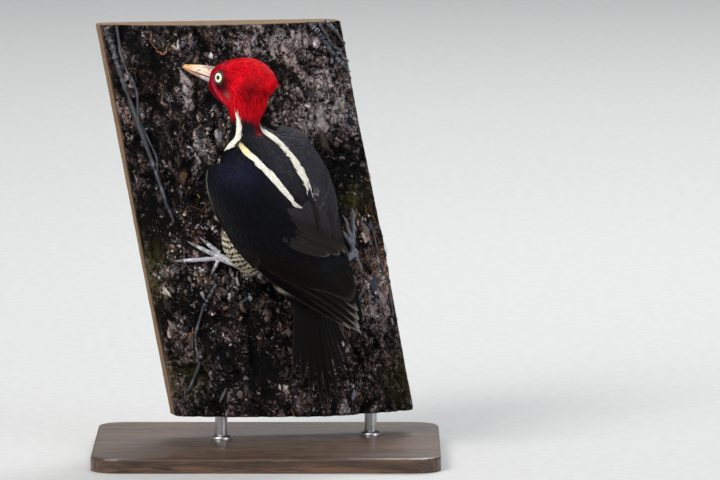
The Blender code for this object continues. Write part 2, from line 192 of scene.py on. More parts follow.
def turned(bm, outline, steps, closed=False, middle=(0, 0, 0)):
    """The outline's points joined up and turned once round an upright axis, as on a lathe."""
    points = [bm.verts.new(point) for point in outline]
    edges = [bm.edges.new(pair) for pair in zip(points, points[1:] + points[:closed])]
    bmesh.ops.spin(bm, geom=points + edges, cent=middle, axis=(0, 0, 1), angle=math.tau, steps=steps,
                   use_merge=True, use_duplicate=False, dvec=(0, 0, 0))
    bmesh.ops.remove_doubles(bm, verts=bm.verts, dist=1e-6)
    bmesh.ops.recalc_face_normals(bm, faces=bm.faces)


# The card from its middle out: flat, then a quarter round up to a rim that stands straight.
FLAT_OUT_TO = 8.5
SWEEP_ROUND = 2.0
RIM_HEIGHT = 5.0
outline = [(reach, 0, 0) for reach in (0.0, 1.5, 4.0, FLAT_OUT_TO)]
for turn in range(1, 10):
    rise = math.radians(10 * turn)
    outline.append((FLAT_OUT_TO + SWEEP_ROUND * math.sin(rise), 0, SWEEP_ROUND * (1 - math.cos(rise))))
outline.append((FLAT_OUT_TO + SWEEP_ROUND, 0, RIM_HEIGHT))
bm = bmesh.new()
turned(bm, outline, 72)
if bm.faces[:][0].normal.z < 0:
    bmesh.ops.reverse_faces(bm, faces=bm.faces)
sweep_mesh = bpy.data.meshes.new("card_sweep")
bm.to_mesh(sweep_mesh)
bm.free()
sweep_mesh.shade_smooth()
sweep = set_out("card_sweep", sweep_mesh)
sweep_mesh.materials.append(card)

for name, place, aim_at, size, power, tint in (
    ("box_high_left", (-1.5, -1.9, 2.1), (0, -0.02, 0.2), 1.3, 86, (1.0, 0.98, 0.95)),
    ("box_right", (1.9, -1.5, 0.9), (0, -0.02, 0.2), 1.1, 16, (0.93, 0.96, 1.0)),
    ("box_behind", (0.5, 1.3, 1.9), (0, -0.02, 0.2), 0.9, 13, (0.95, 0.98, 1.0)),
    ("box_on_card", (0.8, 2.9, 3.2), (0, 3.2, 0), 2.6, 110, (1.0, 1.0, 1.0)),
):
    lamp = bpy.data.lights.new(name, "AREA")
    lamp.size = size
    lamp.energy = power
    lamp.color = tint
    lamp_object = set_out(name, lamp)
    lamp_object.location = place
    aim = Vector(aim_at) - Vector(place)
    lamp_object.rotation_euler = aim.to_track_quat("-Z", "Y").to_euler()
room = bpy.data.worlds.new("room")
bpy.context.scene.world = room
room.use_nodes = True
air = Sockets(room.node_tree.nodes["Background"])
air["Color"] = (0.90, 0.94, 1.0, 1)
air["Strength"] = 0.55
bpy.context.scene.view_settings.view_transform = "Standard"

# --- Stand ---
# A walnut board with rounded corners, oiled and waxed, and two brushed steel rods that carry the
# slab. Where each rod enters the board a small turned collar is pressed on.
walnut, put, shader = start_finish("waxed_walnut")
where = put("TexCoord")["Object"]
stretched = put("Mapping", {"Vector": where, "Scale": (1.6, 22.0, 22.0)})
wander = grain(put, stretched, 2.2, 5.0, 0.6, 0.6)
rings = (wander * 26.0).math("SINE")
pores = grain(put, put("Mapping", {"Vector": where, "Scale": (60.0, 900.0, 900.0)}), 1.0, 3.0)
tone = over(put, level(put, rings, -1, 1), (0.055, 0.026, 0.013, 1), (0.125, 0.063, 0.032, 1))
tone = over(put, level(put, pores, 0.36, 0.5, 1, 0), tone, (0.02, 0.01, 0.006, 1))
shader["Base Color"] = tone
shader["Roughness"] = level(put, pores, 0.35, 0.6, 0.55, 0.36)
shader["Coat Weight"] = 0.25
shader["Coat Roughness"] = 0.25
shader["Normal"] = relief(put, level(put, pores, 0.36, 0.5), 0.00012, 0.6)

def refinish(name, finish):
    """A CAD solid shown as it is, in a finish of its own."""
    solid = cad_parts[name].data
    solid.materials.clear()
    solid.materials.append(finish)


refinish("stand_base", walnut)

brushed, put, shader = start_finish("brushed_rod")
where = put("TexCoord")["Object"]
lines = grain(put, put("Mapping", {"Vector": where, "Scale": (300.0, 300.0, 6000.0)}), 1.0, 2.0)
shader["Base Color"] = stops(put, lines, (0.3, (0.42, 0.42, 0.43)), (0.7, (0.60, 0.60, 0.62)))
shader["Roughness"] = level(put, lines, 0.3, 0.7, 0.26, 0.42)
shader["Metallic"] = 1.0
shader["Normal"] = relief(put, lines, 0.00003, 0.5)


def fit(name, mesh, finish, stands_for, slot):
    """A finished mesh as a piece on the model's one body, in its finish."""
    piece = set_out(name, mesh)
    mesh.materials.append(finish)
    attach(piece, "root")
    if stands_for:
        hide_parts(*stands_for)
    return piece


def keep(name, bm, finish, *stands_for, slot, smooth_under=50):
    """A piece from its bmesh, shaded smooth but for edges sharper than smooth_under degrees."""
    mesh = bpy.data.meshes.new(name)
    bm.to_mesh(mesh)
    bm.free()
    mesh.shade_smooth()
    mesh.set_sharp_from_angle(angle=math.radians(smooth_under))
    return fit(name, mesh, finish, stands_for, slot)


bm = bmesh.new()
base_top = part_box("stand_base")[1].z
for side in ("left", "right"):
    refinish("stand_rod_" + side, brushed)
    low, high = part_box("stand_rod_" + side)
    middle = (low + high) / 2
    # The collar's outline, turned about the rod: foot, rounded shoulder, and lip against the rod.
    outline = ((5.4, 0.0), (9.0, 0.0), (9.0, 1.2), (8.4, 2.2), (7.0, 2.9), (5.9, 3.4), (5.4, 3.4))
    outline = [(middle.x + r * MM, middle.y, base_top + h * MM) for r, h in outline]
    turned(bm, outline, 48, closed=True, middle=(middle.x, middle.y, 0))
keep("rod_collars", bm, brushed, slot="rod_steel")

# --- Bark slab ---
# A slab sawn off the side of a large living trunk: dark, damp, furrowed bark with pale crusts of
# lichen outside, pale split wood inside, sawn flat at its ends and back.
PERCH_RADIUS = 220 * MM
BODY_TO_BARK = 63 * MM
PERCH_TURN = math.radians(12)
PERCH_LEAN_SIDE = math.tan(math.radians(-10))
PERCH_LEAN_BACK = math.tan(math.radians(5))
BARK_SEED = 12
BARK_OUT = Vector((math.sin(PERCH_TURN), -math.cos(PERCH_TURN), 0))
BARK_ALONG = Vector((math.cos(PERCH_TURN), math.sin(PERCH_TURN), 0))
FOOT_AT = {"left": (-44 * MM, -48.5 * MM), "right": (70 * MM, -49 * MM)}
TAIL_REST = (16 * MM, -150 * MM)


def perch_middle(height):
    """Centre of the trunk's curve at a height above the floor."""
    rise = height - BIRD_CENTRE.z
    level_with = Vector((BIRD_CENTRE.x, BIRD_CENTRE.y, height))
    depth = BODY_TO_BARK + PERCH_RADIUS + rise * PERCH_LEAN_BACK
    return level_with - BARK_OUT * depth + BARK_ALONG * rise * PERCH_LEAN_SIDE


def bark_point(along, height, lift=0.0):
    """A point of the bark, by its distance along the curve and its height, lifted off by lift."""
    angle = along / PERCH_RADIUS
    out = math.cos(angle) * BARK_OUT + math.sin(angle) * BARK_ALONG
    swell = math.sin(along * 38 + height * 9) + 0.7 * math.sin(along * 71 - height * 16 + 1.2)
    calm = min(1.0, (abs(height - BIRD_CENTRE.z + 45 * MM) / (95 * MM)) ** 2)
    return perch_middle(height) + (PERCH_RADIUS + lift - 1.6 * MM * calm * (1.7 - swell)) * out


def on_bark(point):
    """A point's distance along the curve, its height and its depth under the trunk's round."""
    arm = point - perch_middle(point.z)
    out, along = arm.dot(BARK_OUT), arm.dot(BARK_ALONG)
    return math.atan2(along, out) * PERCH_RADIUS, point.z, PERCH_RADIUS - math.hypot(out, along)


def evenly(bm, voxel):
    """A bmesh of merged solids turned into one skin of even squares."""
    mesh = bpy.data.meshes.new("lump")
    bm.to_mesh(mesh)
    lump = set_out("lump", mesh)
    remesh = lump.modifiers.new("even", "REMESH")
    remesh.mode = "VOXEL"
    remesh.voxel_size = voxel
    evaluated = lump.evaluated_get(bpy.context.evaluated_depsgraph_get())
    bm.clear()
    bm.from_mesh(evaluated.to_mesh())
    evaluated.to_mesh_clear()
    bpy.data.objects.remove(lump)
    return bm


def remeshed(names, voxel, grow=0.0):
    """The CAD solids of those names, grown a little and merged into one evenly meshed bmesh."""
    bm = bmesh.new()
    for name in names:
        bm.from_mesh(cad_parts[name].data)
    bmesh.ops.remove_doubles(bm, verts=bm.verts, dist=1e-6)
    bm.normal_update()
    for vert in bm.verts:
        vert.co += vert.normal * grow
    return evenly(bm, voxel)


# Where the bark is pale with crusts (0), hollow and painted dark as painted shadow (1), rusty with dead roots (2)
# or mossy (3): middle and reach across and up, seen from the front and in millimetres, then kind and strength.
BARK_ZONES = (
    (19, 331, 24, 12, 0, 0.8), (43, 270, 26, 13, 0, 1.0), (50, 300, 24, 18, 0, 0.6), (-53, 252, 9, 15, 0, 0.9),
    (-67, 290, 8, 12, 0, 0.8), (-115, 276, 12, 10, 0, 0.5), (90, 126, 12, 28, 0, 1.0), (-20, 334, 26, 9, 0, 0.5),
    (60, 220, 15, 25, 1, 1.0), (-93, 195, 14, 26, 1, 0.9), (-55, 214, 13, 22, 1, 0.7), (-101, 255, 12, 12, 1, 0.6),
    (3, 78, 40, 30, 1, 0.5), (-90, 320, 14, 10, 1, 0.5), (-55, 120, 30, 18, 1, 0.4), (99, 175, 22, 46, 2, 0.8),
    (-58, 182, 9, 18, 2, 0.6), (27, 100, 40, 18, 2, 0.35), (-96, 146, 14, 22, 3, 1.0), (74, 205, 9, 9, 3, 0.9),
    (102, 196, 12, 18, 3, 0.6), (-70, 62, 18, 14, 3, 0.5), (112, 60, 14, 20, 3, 0.6),
)


def bark_zones(x, z):
    """How pale, hollow with painted shadow, rusty and mossy the bark is at a place seen from the front."""
    found = [0.0, 0.0, 0.0, 0.0]
    for middle_x, middle_z, reach_x, reach_z, kind, strength in BARK_ZONES:
        apart = ((x / MM - middle_x) / reach_x) ** 2 + ((z / MM - middle_z) / reach_z) ** 2
        if apart < 8:
            found[kind] += strength * math.exp(-apart)
    return found


# The bark comes out the same each time the script runs.
noise.seed_set(BARK_SEED)


def bark_relief(along, height, hollow):
    """How far the bark lies back at a place, in millimetres."""
    at = Vector((along * 1000, height * 1000, 0))
    drift = noise.noise_vector(at / 24) * 7
    lean = Vector((at.x + 0.16 * at.y, at.y * 0.62, 3.1)) + drift
    plates = noise.voronoi(lean / 8.0)[0]
    crack = min(1.0, (plates[1] - plates[0]) * 2.6)
    crumbs = noise.voronoi((at + drift) / 3.9)[0]
    chips = min(1.0, (crumbs[1] - crumbs[0]) * 1.9)
    swell = noise.fractal(lean / 20, 0.8, 2.1, 4)
    rough = noise.fractal(at / 4.0, 0.5, 2.1, 3)
    pits = max(0.0, noise.noise(lean / 11 + Vector((7, 3, 1))) - 0.10)
    back = 2.4 * (1 - crack) ** 2 + 1.2 * (1 - chips) + 11 * pits + 1.5 + 2.0 * hollow - 2.1 * swell - rough
    return min(8.0, max(back, -0.8))


bm = remeshed(["perch"], 1.55 * MM)
depth_layer = bm.verts.layers.float.new("bark_depth")
relief_layer = bm.verts.layers.float.new("bark_relief")
zone_layer = bm.verts.layers.float_color.new("bark_zone")
for vert in bm.verts:
    along, height, depth = on_bark(vert.co)
    fronting = max(0.0, 1 - max(0.0, depth - 4 * MM) / (5 * MM))
    zones = bark_zones(vert.co.x, vert.co.z)
    back = bark_relief(along, height, min(1.0, zones[1]))
    near = 1.0
    for foot_along, foot_rise in FOOT_AT.values():
        apart = math.hypot(along - foot_along, height - BIRD_CENTRE.z - foot_rise) / MM
        near = min(near, max(0.16, (apart - 20) / 26))
    apart = math.hypot((along - TAIL_REST[0]) / MM, (height - BIRD_CENTRE.z - TAIL_REST[1]) / MM)
    near = min(near, max(0.16, (apart - 16) / 30))
    arm = vert.co - perch_middle(vert.co.z)
    arm.z = 0
    out = arm.normalized()
    ends = 0.35 * noise.fractal(vert.co * 260, 0.9, 2.0, 2)
    vert[relief_layer] = back
    vert[zone_layer] = zones
    vert[depth_layer] = depth / MM
    vert.co -= out * back * MM * near * fronting
    vert.co += vert.normal * ends * MM * (1 - fronting) * 0.4
bmesh.ops.recalc_face_normals(bm, faces=bm.faces)

bark, put, shader = start_finish("damp_bark")
where = put("TexCoord")["Object"]
depth = put("Attribute", attribute_name="bark_depth")["Fac"]
back = put("Attribute", attribute_name="bark_relief")["Fac"]
# The trunk leans to the left, and its bark is drawn out lengthwise.
along_trunk = put("Mapping", {"Vector": where, "Rotation": (0, math.radians(-10), 0), "Scale": (1, 1, 0.45)})
zone = put("Attribute", attribute_name="bark_zone")
kinds = put("SeparateXYZ", {"Vector": zone["Color"]})
coarse = grain(put, along_trunk, 85.0, 6.0, 0.65, 0.8)
fine = grain(put, where, 430.0, 5.0, 0.72, 0.6)
speck = grain(put, where, 1300.0, 3.0, 0.75)
blotch = grain(put, where, 26.0, 5.0, 0.6, 0.5)
# Painted shade: the bark is darker the deeper it lies and far darker in the hollow zones; the crumbs' tops are
# lighter than the cracks between them, which are all but black.
height = (fine - 0.5) * 3.4 + (coarse - 0.5) * 2.6 + (speck - 0.5) * 1.5 + (back - 1.9) * -0.20
height = height + kinds["X"] * 0.75 + kinds["Y"] * -0.75
tone = stops(
    put, level(put, height, -0.74, 0.74),
    (0.0, (0.0015, 0.0012, 0.0012)), (0.22, (0.006, 0.0045, 0.004)), (0.45, (0.038, 0.027, 0.023)),
    (0.68, (0.17, 0.135, 0.122)), (0.92, (0.54, 0.465, 0.46)),
)
reddish = stops(put, blotch, (0.35, (1.0, 0.66, 0.48)), (0.62, (0.92, 0.96, 1.12)))
tone = over(put, 0.6, tone, reddish, "MULTIPLY")
rust = kinds["Z"] * level(put, coarse, 0.35, 0.6)
tone = over(put, rust * 0.9, tone, over(put, 1.0, tone, (1.7, 0.78, 0.36, 1), "MULTIPLY"))
crust = (fine - 0.5) * 2.2 + (grain(put, where, 150.0, 4.0, 0.7, 1.0) - 0.5) * 3.0
crust = level(put, crust + kinds["X"] * 0.62, 0.40, 0.58)
crust_colour = stops(
    put, speck, (0.34, (0.10, 0.08, 0.085)), (0.5, (0.42, 0.36, 0.37)), (0.64, (0.80, 0.74, 0.77)))
tone = over(put, crust * 0.85, tone, crust_colour)
moss = zone["Alpha"] * level(put, coarse + fine, 0.85, 1.1)
moss_colour = over(put, speck, (0.012, 0.012, 0.003, 1), (0.20, 0.17, 0.04, 1))
tone = over(put, moss * 0.85, tone, moss_colour)
# Under the bark: a thin red-brown bast, then pale wood whose rings follow the trunk's own curve.
ring_wave = ((depth + coarse * 2.0) * 2.3).math("SINE")
wood = over(put, level(put, ring_wave, -1, 1), (0.30, 0.19, 0.105, 1), (0.43, 0.30, 0.18, 1))
wood = over(put, level(put, fine, 0.42, 0.6, 0.5, 0), wood, (0.17, 0.10, 0.055, 1))
edge = depth + coarse * 5.0
wood = over(put, level(put, edge, 12.5, 13.5), (0.12, 0.055, 0.03, 1), wood)
inside = level(put, edge, 9.5, 10.3)
tone = over(put, inside, tone, wood)
shader["Base Color"] = tone
wet = level(put, coarse + crust * 0.3, 0.4, 0.75, 0.42, 0.85)
shader["Roughness"] = wet.math("MAXIMUM", inside * 0.7)
shader["Specular IOR Level"] = 0.12
rough = fine * 1.6 + speck * 0.5 + crust * 0.25 + coarse * 1.4
shader["Normal"] = relief(put, rough, 0.0018, 1.0)
bark_slab = keep("bark_slab", bm, bark, "perch", slot="bark", smooth_under=70)

# --- Skin ---
# The mount's skin: one closed surface over skull, neck, body and thighs, drawn in under the
# feathers by the depth of the coat and dyed as the feathers over it are.
BIRD = Matrix.LocRotScale(BIRD_CENTRE, Euler([math.radians(a) for a in (92, -31, 30)]), None)
HEAD_CENTRE = BIRD_CENTRE + Vector((-0.0375, -0.010, 0.1002))
HEAD = Matrix.LocRotScale(HEAD_CENTRE, Euler([math.radians(a) for a in (8, 0, 45)]), None)
NECK_CURVE = (
    BIRD @ (Vector((0, 44, 4)) * MM), BIRD @ (Vector((0, 68, 5)) * MM),
    HEAD @ (Vector((0, -22, -32)) * MM), HEAD @ (Vector((0, -20, -6)) * MM),
)
FLESH = ("head", "neck", "trunk", "thigh_left", "thigh_right")


def to_frame(points, axes):
    """An array of points in the bird's or the head's own axes, in millimetres."""
    turn = np.array(axes.to_3x3())
    return (points - np.array(axes.translation)) @ turn / MM


def smooth_step(values, low, high):
    """0 below low, 1 above high, and an even rise between."""
    t = np.clip((values - low) / (high - low), 0, 1)
    return t * t * (3 - 2 * t)


up_neck = np.linspace(0, 1, 41)[:, None]
down_neck = 1 - up_neck
a, b, c, d = (np.array(p) for p in NECK_CURVE)
neck_line = (down_neck**3 * a + 3 * down_neck**2 * up_neck * b + 3 * down_neck * up_neck * up_neck * c
             + up_neck**3 * d)


def neck_share(points):
    """For each point, how far up the neck it lies: 0 at the shoulders, 1 at the skull."""
    apart = np.linalg.norm(points[:, None, :] - neck_line[None], axis=2)
    return up_neck[np.argmin(apart, axis=1), 0]


def waver(points, size, seed):
    """Slow random variation over the body, about -1 to 1, from a few slanting waves."""
    rng = np.random.default_rng(seed)
    total = np.zeros(len(points))
    for _ in range(7):
        way = rng.normal(size=3)
        way *= rng.uniform(0.6, 1.8) / np.linalg.norm(way) / (size * MM)
        total += np.sin(points @ way * math.tau + rng.uniform(0, 6.3))
    return total / 3.2


def from_line(points, normals, line):
    """Distance of each point from a line drawn on the body, measured along the skin, in mm."""
    best = np.full(len(points), 1e9)
    share = np.zeros(len(points))
    length = 0.0
    for start, end in zip(line, line[1:]):
        start, end = np.array(start), np.array(end)
        way = end - start
        t = np.clip(((points - start) @ way) / (way @ way), 0, 1)
        gap = points - (start + t[:, None] * way)
        sunk = (gap * normals).sum(1)
        apart = np.sqrt(np.maximum((gap**2).sum(1) - sunk**2, 0) + (0.25 * sunk) ** 2)
        nearer = apart < best
        best = np.where(nearer, apart, best)
        share = np.where(nearer, length + t * np.linalg.norm(way), share)
        length += np.linalg.norm(way)
    return best / MM, share / length


# The pale lines of the back, in the bird's axes: each scapular stripe runs from the side of the
# neck to the middle of the back; the neck stripe runs down from behind the cheek to meet the left.
STRIPES = {
    "left": [BIRD @ (Vector(p) * MM) for p in (
        (-10.2, 65, 14), (-10.5, 57, 22), (-9.2, 50.5, 26.6), (-8.3, 42.5, 30.2), (-6.3, 32.5, 32.7),
        (-4.6, 23, 34), (-2.6, 15.7, 34.6), (-1.6, 8, 34.6), (0.2, 2, 34.4), (3.6, -3.2, 33.6))],
    "right": [BIRD @ (Vector(p) * MM) for p in (
        (13.2, 65, 9), (13.7, 61, 15), (14.8, 56, 20), (16.8, 50.5, 22.6), (17.6, 43.5, 25.3),
        (18.4, 36, 27.6), (18.2, 28.5, 29.5), (18.1, 20, 31.5), (17.4, 12, 33), (15.8, 5.6, 33.8))],
    "neck_left": [HEAD @ (Vector(p) * MM) for p in (
        (-12.2, -25, -21), (-11, -26.4, -26.5), (-10.1, -27.1, -33), (-10.6, -27.3, -40),
        (-11.7, -26, -44.3), (-12.3, -22.5, -48), (-11, -16.5, -52))],
    "neck_right": [HEAD @ (Vector(p) * MM) for p in (
        (12.6, -25.4, -19), (11.4, -26.4, -25), (10.6, -26.6, -31))] + [
            BIRD @ (Vector(p) * MM) for p in ((12.4, 71, 5), (13.2, 66.5, 6))],
}
STRIPE_HALF = {"left": 2.0, "right": 2.65, "neck_left": 2.3, "neck_right": 2.2}
BLACK = np.array((0.0034, 0.0036, 0.0052))
WHITE = np.array((0.92, 0.89, 0.80))
RED = np.array((0.72, 0.0030, 0.0125))
DEEP_RED = np.array((0.16, 0.0015, 0.004))
MAROON = np.array((0.050, 0.0008, 0.0040))
PINK_RED = np.array((0.80, 0.030, 0.095))
BUFF = np.array((0.60, 0.53, 0.39))
EAR_GREY = np.array((0.20, 0.13, 0.13))
# Painted light: a lighter slate for the lit back and right wing, and a blue sheen for the left shoulder.
LIT_BACK_SLATE = np.array((0.036, 0.034, 0.044))
PAINTED_SHOULDER_SHEEN = np.array((0.010, 0.012, 0.030))
WORN_GREY = np.array((0.36, 0.30, 0.30))


def stripe_swell(name, along):
    """How full a pale line is along its run: the neck's widen from a point, the back's end narrow."""
    if name.startswith("neck"):
        return (0.45 + 0.45 * smooth_step(along, 0, 0.35)) * (1 - 0.72 * smooth_step(along, 0.68, 0.95))
    return 1 - (0.55 if name == "left" else 0.3) * smooth_step(along, 0.62, 0.95)


def spot(one, one_middle, one_reach, other, other_middle, other_reach):
    """1 about a place given by two measures, dying away over a reach in each."""
    return np.exp(-(((one - one_middle) / one_reach) ** 2 + ((other - other_middle) / other_reach) ** 2))


def plumage(points, normals):
    """The feathers' colour at each point of the body, and how strongly they are barred."""
    x, y, z = to_frame(points, BIRD).T
    aside, fore, up = to_frame(points, HEAD).T
    side = np.abs(aside)
    share = neck_share(points)
    edge = waver(points, 14, 5)
    colour = np.tile(BLACK, (len(points), 1))

    def paint(where, shade):
        nonlocal colour
        colour = colour * (1 - where[:, None]) + shade * where[:, None]

    # Belly, flanks and thighs are buff with bars; breast and back are black.
    under = -z - 0.10 * y + 2.5 * edge
    low = smooth_step(under, 2, 9) * (1 - smooth_step(y, 26, 38))
    rump = smooth_step(y, -96, -60)
    low = low * (1 - 0.9 * smooth_step(y, 6, 15) * smooth_step(z, -22, -14))
    barred = low * rump * (1 - smooth_step(share, 0.2, 0.35))
    paint(barred, BUFF * (1 + 0.10 * waver(points, 22, 9))[:, None])
    # Behind the belly the left side is painted black, as painted shade under the wing, but for a pale band across
    # the vent.
    painted_vent_shade = smooth_step(-y, 50, 56) * (1 - 0.95 * np.exp(-(((y + 68) / 3.2) ** 2)))
    painted_vent_shade = np.clip(painted_vent_shade, 0, 1) * smooth_step(-x + 0.6 * z, -3, 3)
    paint(painted_vent_shade, BLACK * 2)
    barred = barred * (1 - painted_vent_shade)
    # Painted light: the right wing and the back between the pale lines are painted a lighter slate where light
    # falls on them, and the left shoulder has a painted blue sheen.
    painted_light_on_back = spot(x, 7, 13, y, 40, 34)
    painted_light_on_back = np.maximum(painted_light_on_back, smooth_step(x, 12, 20) * smooth_step(y, -80, -10))
    painted_light_on_back = painted_light_on_back * smooth_step(z, -6, 16)
    paint(0.9 * painted_light_on_back * (1 - barred), LIT_BACK_SLATE)
    shoulder = spot(x, -24, 14, y, 48, 14) * (z > 0)
    paint(0.7 * shoulder * (1 - barred), PAINTED_SHOULDER_SHEEN)
    # The whole head and the upper neck are red, furthest down behind the right side of the nape.
    red_ends = 82.5 - 0.145 * np.clip(x, 0, 10) ** 2
    red = smooth_step(y - red_ends + 1.2 * edge, -2.0, 2.0)
    paint(red, RED[None] * (1 + 0.10 * waver(points, 18, 3))[:, None])
    # Painted shade behind and below the eye, in deep red and maroon; crimson on the cheek's lower edge, grey under
    # the ear.
    shade_behind_eye = spot(fore, -8.5, 8.5, up, -0.5, 8.0)
    paint(np.clip(1.15 * shade_behind_eye, 0, 0.85) * (side > 6) * red, DEEP_RED)
    shade_below_eye = spot(fore, -4.0, 7.0, up + 0.25 * fore, -4.0, 4.8)
    cheek = spot(fore, -9.5, 4.6, up, -4.0, 4.2)
    paint(np.clip(1.6 * np.maximum(shade_below_eye, 0.8 * cheek), 0, 0.98) * (side > 6) * red, MAROON)
    # Painted shade: deep red at the back of the crown and down the nape, and the lower neck painted darker.
    hind_shade = spot(fore + 0.35 * up, -37, 8, up, -2, 16)
    paint(0.85 * hind_shade * red, DEEP_RED)
    paint(0.50 * smooth_step(-up, 10, 30) * red, DEEP_RED)
    lores = spot(fore, 8, 4.0, up, 0.5, 3.6) * (side > 4)
    paint(0.55 * lores * red, DEEP_RED)
    over_malar = (up + 8.3 - 0.95 * fore) / 1.38
    lower_face = smooth_step(fore, -13, -6) * (1 - smooth_step(fore, 9, 11.5)) * (side > 2.5) * red
    under_malar = smooth_step(-over_malar, 1.6, 3.4) * (1 - smooth_step(-over_malar, 8, 13))
    paint(0.85 * under_malar * lower_face, DEEP_RED)
    paint(0.90 * np.exp(-((over_malar / 2.0) ** 2)) * lower_face * (side > 4), PINK_RED)
    # A painted highlight: pink red on the brow over the eye.
    brow_highlight = spot(fore, -1, 5, up, 12, 3.4) * (side > 4)
    paint(0.5 * brow_highlight * red, PINK_RED)
    ear = spot(fore, -14, 3.0, up, -9.5, 2.6) * (side > 8)
    paint(0.85 * ear, EAR_GREY)
    # Dark red feathers stray down the nape, and a worn pale patch lies beside the right pale line's end.
    nape = spot(x, 7.2, 2.6, y, 65, 4.5) * (z > 6)
    paint(smooth_step(nape, 0.35, 0.7) * 0.9, RED * 0.35)
    worn = spot(x, 20.5, 4.5, y, -1.5, 8) * (z > 24)
    paint(smooth_step(worn + 0.22 * waver(points, 3.5, 31), 0.45, 0.8) * 0.55, WORN_GREY)
    # The pale lines.
    pale = np.zeros(len(points))
    for name, half in STRIPE_HALF.items():
        apart, along = from_line(points, normals, STRIPES[name])
        width = 0.72 * half * stripe_swell(name, along)
        width = width - (1.3 + 1.1 * waver(points, 3.0, 71)) * smooth_step(along, 0.72, 0.95)
        line = 1 - smooth_step(apart, width - 0.4, width + 0.4)
        warm = np.array((1.0, 0.93, 0.66)) if name == "left" else np.array((1.0, 0.97, 0.88))
        mix = (1 - smooth_step(along, 0.03, 0.2))[:, None] if name == "left" else 0.3
        shade = WHITE * (warm * mix + (1 - mix))
        shade = shade * (1 - 0.35 * smooth_step(along, 0.8, 1.0) * (name in ("left", "right")))[:, None]
        paint(line, shade)
        pale = np.maximum(pale, line)
    return colour, barred * (1 - pale) * (1 - red)


def smoothed(bm, times):
    """The bmesh with every point drawn towards its neighbours' middle, so many times."""
    for _ in range(times):
        bmesh.ops.smooth_vert(
            bm, verts=bm.verts, factor=0.5, use_axis_x=True, use_axis_y=True, use_axis_z=True)
    return bm


bm = smoothed(remeshed(FLESH, 1.3 * MM, grow=0.45 * MM), 7)
bm.normal_update()
# The coat is thickest on the body, 2.3 mm, and thins up the neck to 1.35 mm on the head.
to_head = HEAD.inverted()
for vert in bm.verts:
    share = min(1.0, max(0.0, ((to_head @ vert.co).z / MM + 45) / 25))
    vert.co -= vert.normal * (2.3 * (1 - share) + 1.35 * share) * MM
smoothed(bm, 2)
bmesh.ops.recalc_face_normals(bm, faces=bm.faces)

dyed_skin, put, shader = start_finish("dyed_skin")
where = put("TexCoord")["Object"]
dye = put("Attribute", attribute_name="Plumage")["Color"]
pimple = grain(put, where, 900.0, 3.0)
pimpled = level(put, pimple, 0.3, 0.7, 0.0, 0.5)
shader["Base Color"] = over(put, pimpled, dye, (0.5, 0.5, 0.5, 1), "MULTIPLY")
shader["Roughness"] = 0.8
shader["Normal"] = relief(put, pimple, 0.0004)
skin = keep("skin", bm, dyed_skin, *FLESH, slot="black_plumage")
skin_points = np.empty(len(skin.data.vertices) * 3)
skin_normals = np.empty(len(skin.data.vertices) * 3)
skin.data.vertices.foreach_get("co", skin_points)
skin.data.vertices.foreach_get("normal", skin_normals)
skin_points = skin_points.reshape(-1, 3)
skin_dye, _ = plumage(skin_points, skin_normals.reshape(-1, 3))
dye_layer = skin.data.color_attributes.new("Plumage", "FLOAT_COLOR", "POINT")
dye_layer.data.foreach_set("color", np.c_[skin_dye * 0.6, np.ones(len(skin_dye))].ravel())

# --- Coat ---
# The small feathers, each a thin curved vane set root first in the skin and laid back over the
# next: silky points on the head, rounded scales on the back, looser barred ones on the belly.
# Where the coat lies: places, the way the feathers point there, and how far that reaches (mm).
LIE = [
    (HEAD @ (Vector(place) * MM), HEAD.to_3x3() @ Vector(way), reach)
    for place, way, reach in (
        ((0, 14, 8), (0, -1, 0.35), 6), ((0, 4, 15), (0, -1, 0.12), 9), ((0, -14, 21), (0, -1, -0.02), 11),
        ((0, -34, 18), (0, -1, -0.28), 9), ((0, -47, 8), (0, -1, -0.45), 7),
        ((0, -46, -4), (0, -0.45, -1), 7), ((0, -38, -18), (0, 0.1, -1), 9),
        ((-13, 4, 8), (0.0, -1, 0.22), 7), ((13, 4, 8), (0.0, -1, 0.22), 7),
        ((-14, -9, 6), (0, -1, 0.05), 8), ((14, -9, 6), (0, -1, 0.05), 8),
        ((-15, -26, 4), (0, -1, -0.22), 9), ((15, -26, 4), (0, -1, -0.22), 9),
        ((-14, -8, -8), (0, -1, -0.35), 8), ((14, -8, -8), (0, -1, -0.35), 8),
        ((-14, -24, -12), (0, -0.75, -0.8), 9), ((14, -24, -12), (0, -0.75, -0.8), 9),
        ((-9, 9, -8), (-0.1, -1, -0.3), 6), ((9, 9, -8), (0.1, -1, -0.3), 6),
        ((0, 12, -12), (0, -1, -0.4), 6), ((0, 0, -19), (0, -0.9, -0.6), 8),
        ((0, -12, -22), (0, -0.4, -1), 8),
    )
]
for at in range(6, 37, 5):
    way = Vector(neck_line[at - 2] - neck_line[at + 2]).normalized()
    LIE.append((Vector(neck_line[at]), way, 15))
for y in (60, 40, 20, 0, -20, -40, -60, -85):
    for place in ((0, y, 20), (0, y, -20), (-24, y, 0), (24, y, 0)):
        outward = Vector((place[0] * 0.006, -1, place[2] * (0.012 if y > 30 else 0.0)))
        LIE.append((BIRD @ (Vector(place) * MM), BIRD.to_3x3() @ outward, 20))
for side in ("left", "right"):
    low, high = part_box("thigh_" + side)
    foot_low, foot_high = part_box("foot_" + side)
    hip = (low + high) / 2
    down = ((foot_low + foot_high) / 2 - BIRD_CENTRE).normalized()
    LIE.append((hip + down * 0.01, down, 13))


def unit(ways, never_zero=0.0):
    """The same ways, each of them one long."""
    return ways / (np.linalg.norm(ways, axis=-1, keepdims=True) + never_zero)


def lie_of_coat(points):
    """The way the feathers point at each place."""
    total = np.zeros_like(points)
    for place, way, reach in LIE:
        apart = np.linalg.norm(points - np.array(place), axis=1) / MM
        total += np.exp(-((apart / reach) ** 2))[:, None] * np.array(way.normalized())
        total += (1e-4 / (1 + apart**2))[:, None] * np.array(way.normalized())
    return unit(total)


